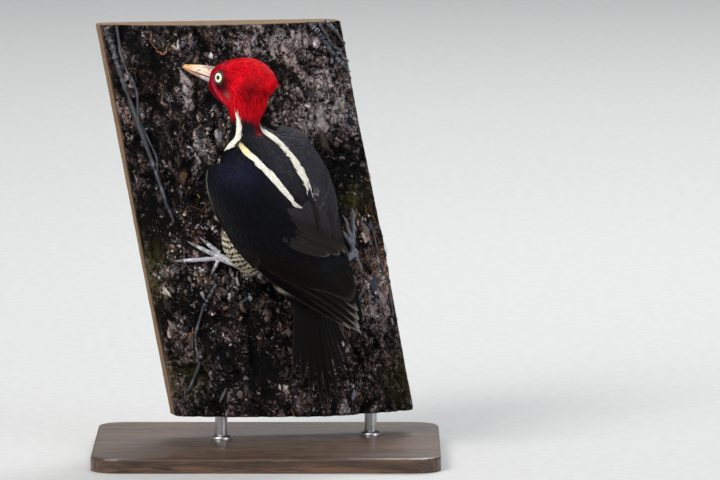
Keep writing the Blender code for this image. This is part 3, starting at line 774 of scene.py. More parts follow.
def unroll(points):
    """The skin unwrapped: round the body by its long way, or round the head by its own."""
    bird, head = to_frame(points, BIRD), to_frame(points, HEAD)
    share = neck_share(points)
    body = np.c_[np.arctan2(bird[:, 0], bird[:, 2]) / math.tau + 0.5, (bird[:, 1] + 100) / 200]
    skull = np.c_[np.arctan2(head[:, 0], head[:, 2]) / math.tau + 0.5, (head[:, 1] + 60) / 90]
    on_head = share > 0.62
    spot = np.where(on_head[:, None], skull * (1, 0.48) + (0, 0.51), body * (1, 0.5))
    return spot * 0.98 + 0.01


def scatter(mesh_points, faces, spacing, wanted, seed):
    """Places spread evenly over a surface, spacing(points) apart in metres, where wanted(points)."""
    rng = np.random.default_rng(seed)
    a, b, c = (mesh_points[faces[:, k]] for k in range(3))
    area = np.linalg.norm(np.cross(b - a, c - a), axis=1) / 2
    middle = (a + b + c) / 3
    near = spacing(middle)
    weight = area / near**2 * wanted(middle)
    count = int(weight.sum() * 6.0)
    picked = rng.choice(len(faces), count, p=weight / weight.sum())
    u, v = rng.random(count), rng.random(count)
    flip = u + v > 1
    u, v = np.where(flip, 1 - u, u), np.where(flip, 1 - v, v)
    at = a[picked] + u[:, None] * (b - a)[picked] + v[:, None] * (c - a)[picked]
    gap = near[picked]
    cell = float(gap.max())
    taken, kept = {}, []
    keys = np.floor(at / cell).astype(int)
    for i in range(count):
        p, r = at[i], gap[i]
        beside = itertools.product(*((k - 1, k, k + 1) for k in keys[i].tolist()))
        near_ones = (one for key in beside for one in taken.get(key, ()))
        if any((p[0] - q[0]) ** 2 + (p[1] - q[1]) ** 2 + (p[2] - q[2]) ** 2 < r * s for q, s in near_ones):
            continue
        taken.setdefault(tuple(keys[i].tolist()), []).append((p, r))
        kept.append(i)
    return at[kept]


def lay_back(roots, length, steps, bed, lie=lie_of_coat):
    """Paths from each root back over the surface of bed: points and outward normals."""
    at = roots.copy()
    path, outward = [], []
    for step in range(steps):
        way = lie(at)
        found_at, found_out = np.empty_like(at), np.empty_like(at)
        for i in range(len(at)):
            place, normal, _, _ = bed.find_nearest(at[i])
            found_at[i], found_out[i] = place, normal
        path.append(found_at)
        outward.append(found_out)
        way = way - (way * found_out).sum(1)[:, None] * found_out
        way = unit(way, 1e-12)
        at = found_at + way * (length / (steps - 1))[:, None]
    return np.stack(path, 1), np.stack(outward, 1)


# A vane's section, halves of its width and thickness out from its middle line.
THIN = ((-1.0, 0.0), (0.0, 1.0), (1.0, 0.0))
BROAD = ((-1.0, -0.25), (-0.5, 0.65), (0.0, 1.0), (0.5, 0.65), (1.0, -0.25))


def weave(name, rings, colours, spots, finish, *stands_for, slot, section=THIN, bars=None, patch=(0.003, 0.003)):
    """One mesh of closed vanes from their rings: (vane, place along it, place round it, xyz)."""
    count, along, around, _ = rings.shape
    first = (np.arange(count) * along * around)[:, None, None]
    rows = (np.arange(along - 1) * around)[None, :, None]
    here = np.arange(around)[None, None, :]
    after = (here + 1) % around
    quads = np.stack([first + rows + here, first + rows + after,
                      first + rows + after + around, first + rows + here + around], -1).reshape(-1)
    root_cap = (first[:, 0] + np.arange(around)[None, ::-1]).reshape(-1)
    tip_cap = (first[:, 0] + (along - 1) * around + np.arange(around)[None]).reshape(-1)
    corners = np.concatenate([quads, root_cap, tip_cap]).astype(np.int32)
    sizes = np.concatenate([np.full(len(quads) // 4, 4), np.full(2 * count, around)]).astype(np.int32)
    starts = np.concatenate([[0], np.cumsum(sizes)[:-1]]).astype(np.int32)
    mesh = bpy.data.meshes.new(name)
    mesh.vertices.add(count * along * around)
    mesh.vertices.foreach_set("co", rings.reshape(-1).astype(np.float32))
    mesh.loops.add(len(corners))
    mesh.loops.foreach_set("vertex_index", corners)
    mesh.polygons.add(len(sizes))
    mesh.polygons.foreach_set("loop_start", starts)
    mesh.update(calc_edges=True)
    mesh.validate()
    bm = bmesh.new()
    bm.from_mesh(mesh)
    bmesh.ops.recalc_face_normals(bm, faces=bm.faces)
    bm.to_mesh(mesh)
    bm.free()
    mesh.shade_smooth()
    mesh.set_sharp_from_angle(angle=math.radians(60))
    corner_at = np.empty(len(mesh.loops), np.int32)
    mesh.loops.foreach_get("vertex_index", corner_at)
    across = np.array([x for x, _ in section]) * 0.5 + 0.5
    vane = np.empty((count, along, around, 2))
    vane[..., 0] = across
    vane[..., 1] = np.linspace(0, 1, along)[None, :, None]
    vane = vane.reshape(-1, 2)
    patched = spots[:, None, None, :] + (vane.reshape(count, along, around, 2) - 0.5) * patch
    for layer, values in (("OFBake", patched.reshape(-1, 2)), ("Vane", vane)):
        made = mesh.uv_layers.new(name=layer)
        made.data.foreach_set("uv", values[corner_at].astype(np.float32).ravel())
    colour = mesh.color_attributes.new("Plumage", "FLOAT_COLOR", "POINT")
    full = np.ones((count, along, around, 4))
    full[..., :3] = colours if colours.ndim == 4 else colours[:, :, None, :]
    full[..., 3] = 1.0 if bars is None else bars[:, None, None]
    colour.data.foreach_set("color", full.astype(np.float32).ravel())
    return fit(name, mesh, finish, stands_for, slot)


def vanes(roots, length, width, rise, outline, bed, sink, seed, section=THIN, thick=0.22, twist=0.1,
          lie=lie_of_coat, sway_by=0.12):
    """Rings of small feathers: sunk by sink mm at the root, lifted by rise at the tip."""
    rng = np.random.default_rng(seed)
    count, steps = len(roots), len(outline)
    path, outward = lay_back(roots, length, steps, bed, lie)
    t = np.linspace(0, 1, steps)[None, :, None]
    ahead = unit(np.gradient(path, axis=1), 1e-12)
    across = unit(np.cross(ahead, outward), 1e-12)
    roll = rng.normal(0, twist, (count, 1, 1))
    side = across * np.cos(roll) + outward * np.sin(roll)
    up = outward * np.cos(roll) - across * np.sin(roll)
    sway = rng.normal(0, sway_by, (count, 1, 1)) * length[:, None, None]
    lifted = -sink * MM * (1 - t) ** 1.3 + rise[:, None, None] * t**1.5
    middle = path + across * sway * t**2 + outward * lifted
    half = (width / 2)[:, None] * np.array(outline)[None]
    # A vane is thinner where it is narrow.
    thin = (thick * MM * np.minimum(1, half / (0.3 * MM) + 0.2))[..., None]
    rings = np.stack([middle + side * (half * x)[..., None] + up * z * thin for x, z in section], 2)
    return rings, path, outward


def plume_finish(name, barb=1.0, gloss=0.5, sheen=0.0, bars=False, shine=0.16):
    """Feather: dyed by its attribute, fine slanting barbs, a fine shaft and a soft gloss."""
    made, put, shader = start_finish(name)
    dye = put("Attribute", attribute_name="Plumage")
    vane = put("UVMap", uv_map="Vane")
    parts = put("SeparateXYZ", {"Vector": vane})
    across = (parts["X"] - 0.5).math("ABSOLUTE")
    slant = parts["Y"] + across * -0.55
    where = put("TexCoord")["Object"]
    ragged = grain(put, where, 700.0, 3.0, 0.6)
    barbs = (slant * (70.0 * barb) + ragged * 5.0).math("SINE")
    shaft = level(put, across, 0.02, 0.05, 1.0, 0.0)
    streak = level(put, barbs + ragged * 1.5, -1.2, 2.2, 0.62, 1.12)
    grey = put("CombineXYZ", dict.fromkeys("XYZ", streak))
    tone = over(put, 1.0, dye["Color"], grey, "MULTIPLY")
    if bars:
        # Bars run across the body; each feather bends them into a shallow chevron of its own.
        own = put("Mapping", {"Vector": where, "Location": BIRD_CENTRE, "Rotation": BIRD.to_euler()},
                  vector_type="TEXTURE")
        down = put("SeparateXYZ", {"Vector": own})["Y"]
        drift = grain(put, own, 90.0, 2.0)
        wave = (down * 1250.0 + drift * 11.0 + across * 4.2).math("SINE")
        broken = grain(put, own, 260.0, 2.0, 0.5) * 1.5
        dark = level(put, wave + broken, 0.98, 1.22) * dye["Alpha"]
        tone = over(put, dark, tone, (0.012, 0.010, 0.010, 1))
    shader["Base Color"] = tone
    shader["Roughness"] = level(put, streak, 0.6, 1.1, gloss + 0.1, gloss - 0.06)
    shader["Specular IOR Level"] = shine
    shader["Sheen Weight"] = sheen
    shader["Sheen Roughness"] = 0.4
    height = barbs * 0.5 + shaft * 1.5
    shader["Normal"] = relief(put, height, 0.00006, 0.7)
    return made



def bed_of(bm):
    """A bmesh's triangles as an array, and the tree that finds the nearest place on them."""
    bmesh.ops.triangulate(bm, faces=bm.faces)
    return np.array([[v.index for v in f.verts] for f in bm.faces]), BVHTree.FromBMesh(bm)


bm = bmesh.new()
bm.from_mesh(skin.data)
skin_faces, skin_bed = bed_of(bm)
bm.free()

red_plume = plume_finish("silky_red_plume", 0.5, 0.50, shine=0.05)
black_plume = plume_finish("glossy_black_plume", 1.0, 0.42, shine=0.045)
belly_plume = plume_finish("barred_belly_plume", 0.9, 0.6, 0.1, bars=True)
EYES = {side: HEAD @ (Vector((side * 9.6, -1.0, 2.0)) * MM) for side in (-1, 1)}


def off_the_eyes(points, reach):
    """1 where a point is further than reach from both eyes, otherwise 0."""
    clear = np.ones(len(points))
    for eye in EYES.values():
        clear *= np.linalg.norm(points - np.array(eye), axis=1) > reach
    return clear


def shade_of(rings, path, outward, seed, root_dark=0.55, spread=0.16, tip=1.1, place_share=0.7):
    """A colour down each vane: its place's own colour, darker at the root, a little by chance."""
    rng = np.random.default_rng(seed)
    count, steps = path.shape[:2]
    base, bars = plumage(path.reshape(-1, 3), outward.reshape(-1, 3))
    base = base.reshape(count, steps, 3)
    # Each feather has in part its own middle's colour, and in part that of the place it passes over.
    middle = int(steps * 0.6)
    base = base * place_share + base[:, middle][:, None, :] * (1 - place_share)
    chance = np.exp(rng.normal(0, spread, (count, 1, 1)))
    t = np.linspace(0, 1, steps)[None, :, None]
    return base * chance * (root_dark + (tip - root_dark) * t**0.8), bars.reshape(count, steps)[:, middle]


# Head and upper neck.
def head_part(points):
    share = neck_share(points)
    head = to_frame(points, HEAD)
    bill = (head[:, 1] > 10.5) & (np.hypot(head[:, 0], head[:, 2] + 1.6) < 5.4)
    return (share > 0.40) * off_the_eyes(points, 5.9 * MM) * (~bill)


def head_gap(points):
    return (0.93 - 0.27 * smooth_step(to_frame(points, HEAD)[:, 1], -14, 12)) * MM


roots = scatter(skin_points, skin_faces, head_gap, head_part, 11)
place = to_frame(roots, HEAD)
face = smooth_step(place[:, 1], -16, 12)
rng = np.random.default_rng(12)
length = (10.5 - 6.6 * face) * MM * rng.uniform(0.8, 1.2, len(roots))
width = (1.35 - 0.50 * face) * MM * rng.uniform(0.8, 1.2, len(roots))
crest = np.exp(-(((place[:, 1] + 44) / 9) ** 2 + ((place[:, 2] - 6) / 9) ** 2))
length *= 1 + 0.35 * crest
rise = (0.15 + 0.55 * crest + 0.25 * rng.random(len(roots)) ** 3) * MM
rings, path, outward = vanes(
    roots, length, width, rise, (0.6, 1.0, 0.75, 0.14), skin_bed, 0.3, 13, thick=0.1, twist=0.12)
# The skin lies a coat's depth in, so each vane climbs by that depth from its root to its tip.
climb = (np.linspace(0, 1, 4)[None, :, None, None] ** 0.7) * (1.15 - 0.55 * face)[:, None, None, None] * MM
rings = rings + climb * outward[:, :, None, :]
colours, _ = shade_of(rings, path, outward, 14, 0.36, 0.26, 1.15, place_share=0.9)
spots = unroll(roots)
half = len(roots) // 2
for part, chosen in (("head_coat_a", slice(0, half)), ("head_coat_b", slice(half, None))):
    weave(part, rings[chosen], colours[chosen], spots[chosen], red_plume, slot="red_plumage")


# Body: back, breast, belly, flanks and thighs.
def body_part(points):
    return (neck_share(points) < 0.47) * 1.0


def body_gap(points):
    return (1.85 - 0.75 * smooth_step(to_frame(points, BIRD)[:, 1], 30, 66)) * MM


roots = scatter(skin_points, skin_faces, body_gap, body_part, 21)
place = to_frame(roots, BIRD)
fore = smooth_step(place[:, 1], 30, 70)
rng = np.random.default_rng(22)
length = (10.5 - 3.5 * fore) * MM * rng.uniform(0.85, 1.15, len(roots))
width = (3.9 - 1.9 * fore) * MM * rng.uniform(0.85, 1.15, len(roots))
below = smooth_step(-place[:, 2], 4, 16)
rise = (0.1 + 0.5 * below * rng.random(len(roots)) ** 2) * MM
rings, path, outward = vanes(
    roots, length, width, rise, (0.45, 0.95, 1.0, 0.78, 0.25), skin_bed, 0.3, 23, thick=0.16, twist=0.09)
climb = (np.linspace(0, 1, 5)[None, :, None, None] ** 0.7) * 2.0 * MM
rings = rings + climb * outward[:, :, None, :]
colours, bars = shade_of(rings, path, outward, 24, 0.7, 0.12, 1.1)
spots = unroll(roots)
on_belly = bars > 0.4
weave("back_coat", rings[~on_belly], colours[~on_belly], spots[~on_belly], black_plume, slot="black_plumage")
weave("belly_coat", rings[on_belly], colours[on_belly], spots[on_belly], belly_plume, slot="barred_plumage",
      bars=bars[on_belly])


# --- Wings ---
# Folded wings. A slim lining stands for the arm; over it lie the flight feathers, each inner one
# on top of the next outer one, then coverts in rows, and scapulars that close the seam to the back.
# Sections: y, lower edge x and z, upper edge x and z, swell of the outside, thickness (mm).
WING_ROWS = {
    "left": (
        (58, -28, -8, -24, 6, 2, 3.0), (53, -33, -13, -24, 17, 7, 4.5), (40, -38.5, -17, -21, 28, 11.5, 5.5),
        (24, -40.5, -20, -17, 33.5, 14, 6.0), (6, -42, -21, -12, 36, 15, 5.5),
        (-12, -41.5, -21, -5, 37, 16.5, 5.0), (-30, -39.5, -18, 5, 36, 18, 4.2),
        (-52, -34.5, -10.5, 18, 31, 14.5, 3.2), (-73, -25.5, -3, 20, 25.5, 9, 2.5),
        (-95, -14, 2, 19, 21, 5, 1.9), (-115, -3, 6, 15.5, 16.5, 2.6, 1.5), (-127, 3, 10.5, 11.5, 14, 1, 1.2),
        (-131, 7, 12.4, 9, 13.2, 0.3, 1.0),
    ),
    "right": (
        (54, 30, -6, 27, 9, 2, 3.0), (50, 35, -11, 24, 18, 7, 4.5), (40, 41, -14, 20, 25, 14, 6.0),
        (24, 44, -15.5, 17, 31, 16, 6.0), (6, 45, -15.5, 15, 34, 17, 5.5), (-12, 43, -14, 12, 34, 17, 5.0),
        (-30, 39.5, -11, 8, 32, 16, 4.2), (-52, 35, -6, 8, 26.5, 12, 3.2), (-73, 30, -1, 9, 21, 8, 2.4),
        (-95, 25.5, 3.5, 11, 16, 4.5, 1.8), (-110, 22.5, 6, 14, 12.5, 2, 1.4), (-121, 20, 8, 18, 10, 0.5, 1.0),
    ),
}
WING_TIP = {"left": -131.0, "right": -121.0}
COVERT_BLACK = np.array((0.0026, 0.0027, 0.0036))
QUILL_BROWN = np.array((0.0075, 0.0062, 0.0060))
EDGE_BROWN = np.array((0.050, 0.037, 0.028))
TERTIAL_BROWN = np.array((0.021, 0.0165, 0.0165))
TIP_PALE = np.array((0.34, 0.29, 0.25))
# A lighter slate, painted light: the right wing's coverts and the feathers between the wings.
LIT_SLATE = np.array((0.030, 0.027, 0.030))
QUILL_THICK = 0.35
QUILLED = ((-1.0, -0.3), (-0.62, 0.35), (-0.3, 0.6), (-0.05, 0.7), (0.0, 1.7), (0.05, 0.7), (0.3, 0.6),
           (0.62, 0.35), (1.0, -0.3))


def along_rows(rows, keys):
    """The rows' values at each key, on a smooth curve through them."""
    rows = np.array(sorted(tuple(row) for row in rows), float)
    keys = np.clip(keys, rows[0, 0], rows[-1, 0])
    i = np.clip(np.searchsorted(rows[:, 0], keys, side="right") - 1, 0, len(rows) - 2)
    before, start = rows[np.maximum(i - 1, 0)], rows[i]
    end, after = rows[i + 1], rows[np.minimum(i + 2, len(rows) - 1)]
    span = (end[..., 0] - start[..., 0])[..., None]
    t = (keys - start[..., 0])[..., None] / span
    slope_in = (end - before) / (end[..., :1] - before[..., :1]) * span
    slope_out = (after - start) / (after[..., :1] - start[..., :1]) * span
    made = ((2 * t**3 - 3 * t**2 + 1) * start + (t**3 - 2 * t**2 + t) * slope_in
            + (3 * t**2 - 2 * t**3) * end + (t**3 - t**2) * slope_out)
    return made[..., 1:]


def wing_surface(side, y, v):
    """The folded wing's outside: y along the bird, v from its lower edge (0) to its upper one (1)."""
    x0, z0, x1, z1, swell, _ = np.moveaxis(along_rows(WING_ROWS[side], y), -1, 0)
    inside = np.clip(v, 0, 1)
    chord = np.stack([x1 - x0, np.zeros_like(x0), z1 - z0], -1)
    outward = 1 if side == "left" else -1
    normal = np.stack([-(z1 - z0), np.zeros_like(x0), x1 - x0], -1)
    normal *= outward / np.linalg.norm(normal, axis=-1)[..., None]
    bow = np.sin(np.pi * inside) ** 0.85
    low = np.stack([x0, y, z0], -1)
    return low + chord * v[..., None] + normal * (swell * bow)[..., None]


def wing_normal(side, y, v):
    """The outside's normal at y and v, and how the place there moves with each of them."""
    v = np.clip(v, 0.02, 0.98)
    way_y = wing_surface(side, y + 1, v) - wing_surface(side, y - 1, v)
    way_v = wing_surface(side, y, v + 0.02) - wing_surface(side, y, v - 0.02)
    normal = np.cross(way_y, way_v) * (-1 if side == "left" else 1)
    return unit(normal), way_y / 2, way_v / 0.04


def from_bird(points):
    """Points in the bird's axes, in millimetres, put in the model's."""
    return points * MM @ np.array(BIRD.to_3x3()).T + np.array(BIRD.translation)


def wing_vanes(side, starts, ends, width, outline, depth, tilt, curve):
    """Rings of feathers laid on the wing from start to end (y, v). depth is how far each lies under
    the outside at root and tip; tilt sinks the upper edge, which the next inner feather covers."""
    starts, ends = np.array(starts, float), np.array(ends, float)
    steps = len(outline)
    t = np.linspace(0, 1, steps)[None, :]
    y = starts[:, :1] + (ends[:, :1] - starts[:, :1]) * t
    v = starts[:, 1:] + (ends[:, 1:] - starts[:, 1:]) * t**curve
    normal, way_y, way_v = wing_normal(side, y, v)
    ahead = np.gradient(wing_surface(side, y, v), axis=1)
    ahead = unit(ahead)
    across = np.cross(ahead, normal)
    across *= np.sign((across * way_v).sum(-1))[..., None]
    span_v = np.linalg.norm(way_v, axis=-1)
    shift_y = across[..., 1]
    shift_v = ((across - shift_y[..., None] * way_y) * way_v).sum(-1) / span_v**2
    half = np.array(width, float).reshape(-1, 1) / 2 * np.array(outline)[None]
    rings = []
    deep = np.array(depth, float).reshape(-1, 2)
    sunk = deep[:, :1] + (deep[:, 1:] - deep[:, :1]) * t**0.8
    for x, z in QUILLED:
        at_y, at_v = y + shift_y * half * x, v + shift_v * half * x
        lift = -sunk - tilt * x * half / half.max() + z * QUILL_THICK * np.minimum(1, half / 1.2 + 0.15)
        out, _, _ = wing_normal(side, at_y, at_v)
        rings.append(from_bird(wing_surface(side, at_y, at_v) + out * lift[..., None]))
    return np.stack(rings, 2)


def quill_colours(count, steps, base, edge, tip, seed, tip_from=0.97):
    """Flight feather colours: dark vane, browner towards its outer edge, and a pale fringed tip."""
    rng = np.random.default_rng(seed)
    across = np.array([x for x, _ in QUILLED])[None, None, :, None]
    t = np.linspace(0, 1, steps)[None, :, None, None]
    chance = np.exp(rng.normal(0, 0.1, (count, 1, 1, 1)))
    colour = base * chance * (1 + 0 * across + 0 * t)
    rim = np.clip((-across - 0.62) / 0.38, 0, 1) * (0.25 + 0.75 * t)
    colour = colour * (1 - rim) + edge * rim
    fringe = np.clip((np.abs(across) - 0.55) / 0.45, 0, 1) * np.clip((t - tip_from + 0.09) / 0.05, 0, 1)
    end = np.maximum(np.clip((t - 0.985) / 0.015, 0, 1), fringe)
    return colour * (1 - end) + tip * end


def side_by_side(count):
    """Long pieces unwrapped in columns: their middles, and the patch that each takes."""
    return np.c_[(np.arange(count) + 0.5) / count, np.full(count, 0.5)], (0.86 / count, 0.96)


quill_black = plume_finish("glossy_quill", 2.6, 0.38, shine=0.055)


def weave_quills(name, rings, tints, *stands_for):
    """One mesh of large feathers with strong quills."""
    spots, patch = side_by_side(len(rings))
    weave(name, rings, tints, spots, quill_black, *stands_for, slot="black_plumage", section=QUILLED, patch=patch)


TIPPED = (0.35, 0.62, 0.82, 0.94, 1.0, 1.0, 1.0, 0.99, 0.97, 0.94, 0.90, 0.83, 0.71, 0.50, 0.10)
ROUNDED = (0.5, 0.85, 1.0, 1.0, 0.97, 0.88, 0.70, 0.36)

for side in ("left", "right"):
    tip = WING_TIP[side]
    stretch = (58 - tip) / 189
    # The left wing's coverts are black; the right wing's are painted a lighter slate, as painted light.
    black_or_lit_slate = COVERT_BLACK if side == "left" else LIT_SLATE

    def lay(starts, ends, width, outline, depth, tilt, base, edge, pale, seed, tip_from=0.97, curve=1.25):
        """A row of this wing's feathers: their rings and colours."""
        rings = wing_vanes(side, starts, ends, width, outline, depth, tilt, curve)
        return rings, quill_colours(len(rings), len(outline), base, edge, pale, seed, tip_from)

    # Primaries: the innermost first; their tips step down the upper edge to the wing's point.
    ends_y = [tip + 36, tip + 32, tip + 27, tip + 19.5, tip + 12, tip + 5, tip + 0.5, tip + 8]
    ends_v = [0.92, 0.90, 0.88, 0.86, 0.78, 0.62, 0.40, 0.10]
    # The tips that show are fringed pale; the last two feathers have worn brown outer edges.
    fringe = np.array([QUILL_BROWN] * 3 + [TIP_PALE * 0.8] + [TIP_PALE] * 4)[:, None, None, :]
    worn_edge = EDGE_BROWN * np.array([0.5] * 5 + [1, 1.5, 2])[:, None, None, None]
    primaries = lay(
        [(14 - 3 * k, 0.40 - 0.052 * k) for k in range(8)], list(zip(ends_y, ends_v)),
        [13.5, 13.5, 13, 12.5, 12, 11.5, 10.5, 8.5], TIPPED,
        [(2.6, 0.55)] * 8, 0.55, QUILL_BROWN, worn_edge, fringe, 31, 0.945, curve=1.5)
    # Secondaries and tertials, on top of them.
    secondaries = lay(
        [(22 - 3.4 * k, 0.26 + 0.066 * k) for k in range(10)],
        [((-78 - 22 * math.sin(0.5 * math.pi * min(1, k / 6)) + 1.3 * max(0, k - 6)) * stretch,
          0.44 + 0.50 * (k / 9) ** 0.8) for k in range(10)],
        [15.5] * 7 + [14.5, 13.5, 12.5], TIPPED, [(2.0, 0.1)] * 10, 0.6, QUILL_BROWN * 0.9, EDGE_BROWN * 0.35,
        EDGE_BROWN * 0.9, 32, 0.975, curve=1.35)
    weave_quills("primaries_" + side, *primaries, "wing_" + side)
    weave_quills("secondaries_" + side, *secondaries)

    # Coverts: greater and primary coverts, a row of median coverts, and the alula at the edge.
    covert_sets = [
        lay([(30 - 26 * f, 0.10 + 0.86 * f) for f in np.linspace(0, 1, 12)],
            [(-12 - 26 * f, 0.12 + 0.82 * f) for f in np.linspace(0, 1, 12)], [11.5] * 12, TIPPED,
            [(1.5, -0.25)] * 12, 0.45, black_or_lit_slate, black_or_lit_slate * 1.9, black_or_lit_slate * 2.6, 33),
        lay([(18 - 2 * k, 0.03 + 0.045 * k) for k in range(6)],
            [(-30 - 2.5 * (5 - k), 0.03 + 0.05 * k) for k in range(6)], [7.5] * 6, TIPPED,
            [(1.6, -0.1)] * 6, 0.4, QUILL_BROWN, EDGE_BROWN * 0.7, EDGE_BROWN, 34),
        lay([(34 - 22 * f, 0.07 + 0.88 * f) for f in np.linspace(0, 1, 15)],
            [(12 - 25 * f, 0.08 + 0.86 * f) for f in np.linspace(0, 1, 15)], [9.0] * 15, ROUNDED,
            [(1.0, -0.55)] * 15, 0.3, black_or_lit_slate, black_or_lit_slate * 1.5, black_or_lit_slate * 2.2, 35, 0.9),
        lay([(36 - 2 * k, 0.045 + 0.03 * k) for k in range(3)], [(4 - 6 * k, 0.03 + 0.035 * k) for k in range(3)],
            [6.0, 6.5, 6.5], TIPPED, [(0.5, -0.5)] * 3, 0.3, QUILL_BROWN, EDGE_BROWN * 0.8, EDGE_BROWN, 36),
        lay([(2, 0.80), (0, 0.90), (-2, 0.99)], [(-50, 0.87), (-55, 0.95), (-58, 1.03)], [12.5, 12, 11], TIPPED,
            [(1.0, -1.5), (0.8, -1.7), (0.6, -1.9)], 0.25, TERTIAL_BROWN, TERTIAL_BROWN * 1.6, TIP_PALE * 0.35, 37,
            0.965),
    ]
    median = covert_sets.pop(2)
    weave_quills("coverts_" + side, *(np.concatenate(part) for part in zip(*covert_sets)))
    weave_quills("median_coverts_" + side, *median)

    # The lining, a slim closed sheet just under the feathers.
    across_count = 17
    y_line = np.linspace(56 if side == "left" else 52, tip + 9, 56)
    v_line = np.linspace(0.02, 0.98, across_count)
    grid_y, grid_v = np.meshgrid(y_line, v_line, indexing="ij")
    outside = wing_surface(side, grid_y, grid_v)
    normal, _, _ = wing_normal(side, grid_y, grid_v)
    wall = along_rows(WING_ROWS[side], grid_y)[..., 5] * (0.4 + 0.6 * np.sin(np.pi * grid_v))
    upper = outside - normal * np.minimum(1.9, wall * 0.62)[..., None]
    lower = outside - normal * np.maximum(wall * 0.95, 0.75)[..., None]
    sheet = from_bird(np.concatenate([upper, lower[:, ::-1]], 1))[None]
    section = tuple((x, 0) for x in np.r_[np.linspace(-1, 1, across_count), np.linspace(1, -1, across_count)])
    weave("wing_lining_" + side, sheet, np.tile(COVERT_BLACK * 1.3, (1, 56, 1)), np.array([[0.5, 0.5]]),
          quill_black, slot="black_plumage", section=section, patch=(0.96, 0.96))

# The innermost feathers bridge the hollow between the folded wings, over the rump. They are painted a lighter
# slate, as painted light over the shaded hollow.
count = 8
k = np.arange(count)[:, None]
t = np.linspace(0, 1, 15)[None]
x = (-8 + 3.4 * k) * (1 - t) + (1.5 + 1.9 * k) * t
y = (7 - 0.9 * k) * (1 - t) + (-33 - 0.8 * k) * t
z = 33.4 + 2.2 * np.sin(np.pi * t**0.8) - 0.22 * k + (0.9 - 0.15 * k) * t
middle = np.stack([x, y, z], -1)
ahead = np.gradient(middle, axis=1)
ahead = unit(ahead)
across = np.cross(ahead, np.array((0.12, 0, 1.0)))
across = unit(across)
half = 5.2 * np.array(TIPPED)[None, :, None]
up = np.cross(across, ahead)
rings = from_bird(np.stack([middle + across * half * x + up * (0.4 * z + 0.5 * x) for x, z in QUILLED], 2))
weave_quills("bridging_feathers", rings, quill_colours(count, 15, LIT_SLATE * 0.9, LIT_SLATE * 1.3, LIT_SLATE * 2.2, 39))

# Lesser coverts and scapulars, over the wings' upper parts.
shoulder_bm = smoothed(remeshed(["trunk", "wing_left", "wing_right"], 1.5 * MM, grow=0.4 * MM), 9)
shoulder_faces, shoulder_bed = bed_of(shoulder_bm)
shoulder_points = np.array([v.co for v in shoulder_bm.verts])
shoulder_bm.free()


def wing_place(bird):
    """For each point of the bird, its v on the wing it is nearest and its distance from it in mm."""
    steps = np.linspace(0, 1, 33)
    found = []
    for side, tip in WING_TIP.items():
        y = np.clip(bird[:, 1], tip, 57)
        surface = wing_surface(side, np.repeat(y[:, None], 33, 1), np.repeat(steps[None], len(y), 0))
        apart = np.linalg.norm(surface - bird[:, None, :], axis=2)
        found.append((steps[np.argmin(apart, 1)], apart.min(1)))
    (left_v, left), (right_v, right) = found
    return np.where(left <= right, left_v, right_v), np.minimum(left, right)


def shoulder_part(points):
    """1 where the small feathers lie: the wings' fore parts, their seams and the back between."""
    bird = to_frame(points, BIRD)
    x, y, z = bird.T
    v, apart = wing_place(bird)
    lesser = (apart < 2.6) & (y > 9 - 24 * v) & (z > -22)
    seam = (v > 0.70) & (apart < 11) & (y > -34) & (z > 14)
    between_wings = (y > -58) & (y < 5) & (z > 12) & (x > -6) & (x < 26)
    return (lesser | seam | (between_wings & (apart < 16))) * (y < 62)


def shoulder_gap(points):
    return (2.3 - 0.95 * smooth_step(to_frame(points, BIRD)[:, 1], 5, 55)) * MM


roots = scatter(shoulder_points, shoulder_faces, shoulder_gap, shoulder_part, 41)
place = to_frame(roots, BIRD)
fore = smooth_step(place[:, 1], 10, 60)
rng = np.random.default_rng(42)
length = (12.0 - 5.0 * fore) * MM * rng.uniform(0.9, 1.1, len(roots))
width = (5.4 - 2.4 * fore) * MM * rng.uniform(0.9, 1.1, len(roots))
rings, path, outward = vanes(
    roots, length, width, np.full(len(roots), 0.35 * MM), (0.45, 0.95, 1.0, 0.80, 0.28), shoulder_bed, 1.3, 43,
    thick=0.2, twist=0.06, section=BROAD)
colours, barred = shade_of(rings, path, outward, 44, 0.8, 0.10, 1.15)
colours = np.where((barred > 0.05)[:, None, None], COVERT_BLACK * 2, colours)
weave("shoulder_coat", rings, colours, unroll(roots), black_plume, slot="black_plumage", section=BROAD)

# --- Pale lines ---
# The white lines of the back and neck are long soft feathers of their own, laid end over end down
# each line and over the dark ones beside it; at the back's middle they thin out and part.
line_bm = smoothed(remeshed(["head", "neck", "trunk", "wing_left", "wing_right"], 1.4 * MM, grow=0.35 * MM), 7)
line_bed = BVHTree.FromBMesh(line_bm)
line_bm.free()
white_plume = plume_finish("silky_white_plume", 0.6, 0.5, shine=0.15)


def run_of(line, count):
    """Even steps along a smooth curve through a line's points: the places and its length."""
    line = np.array([list(p) for p in line])
    run = np.r_[0, np.cumsum(np.linalg.norm(np.diff(line, axis=0), axis=1))]
    return along_rows(np.c_[run, line], np.linspace(0, run[-1], count)), run[-1]


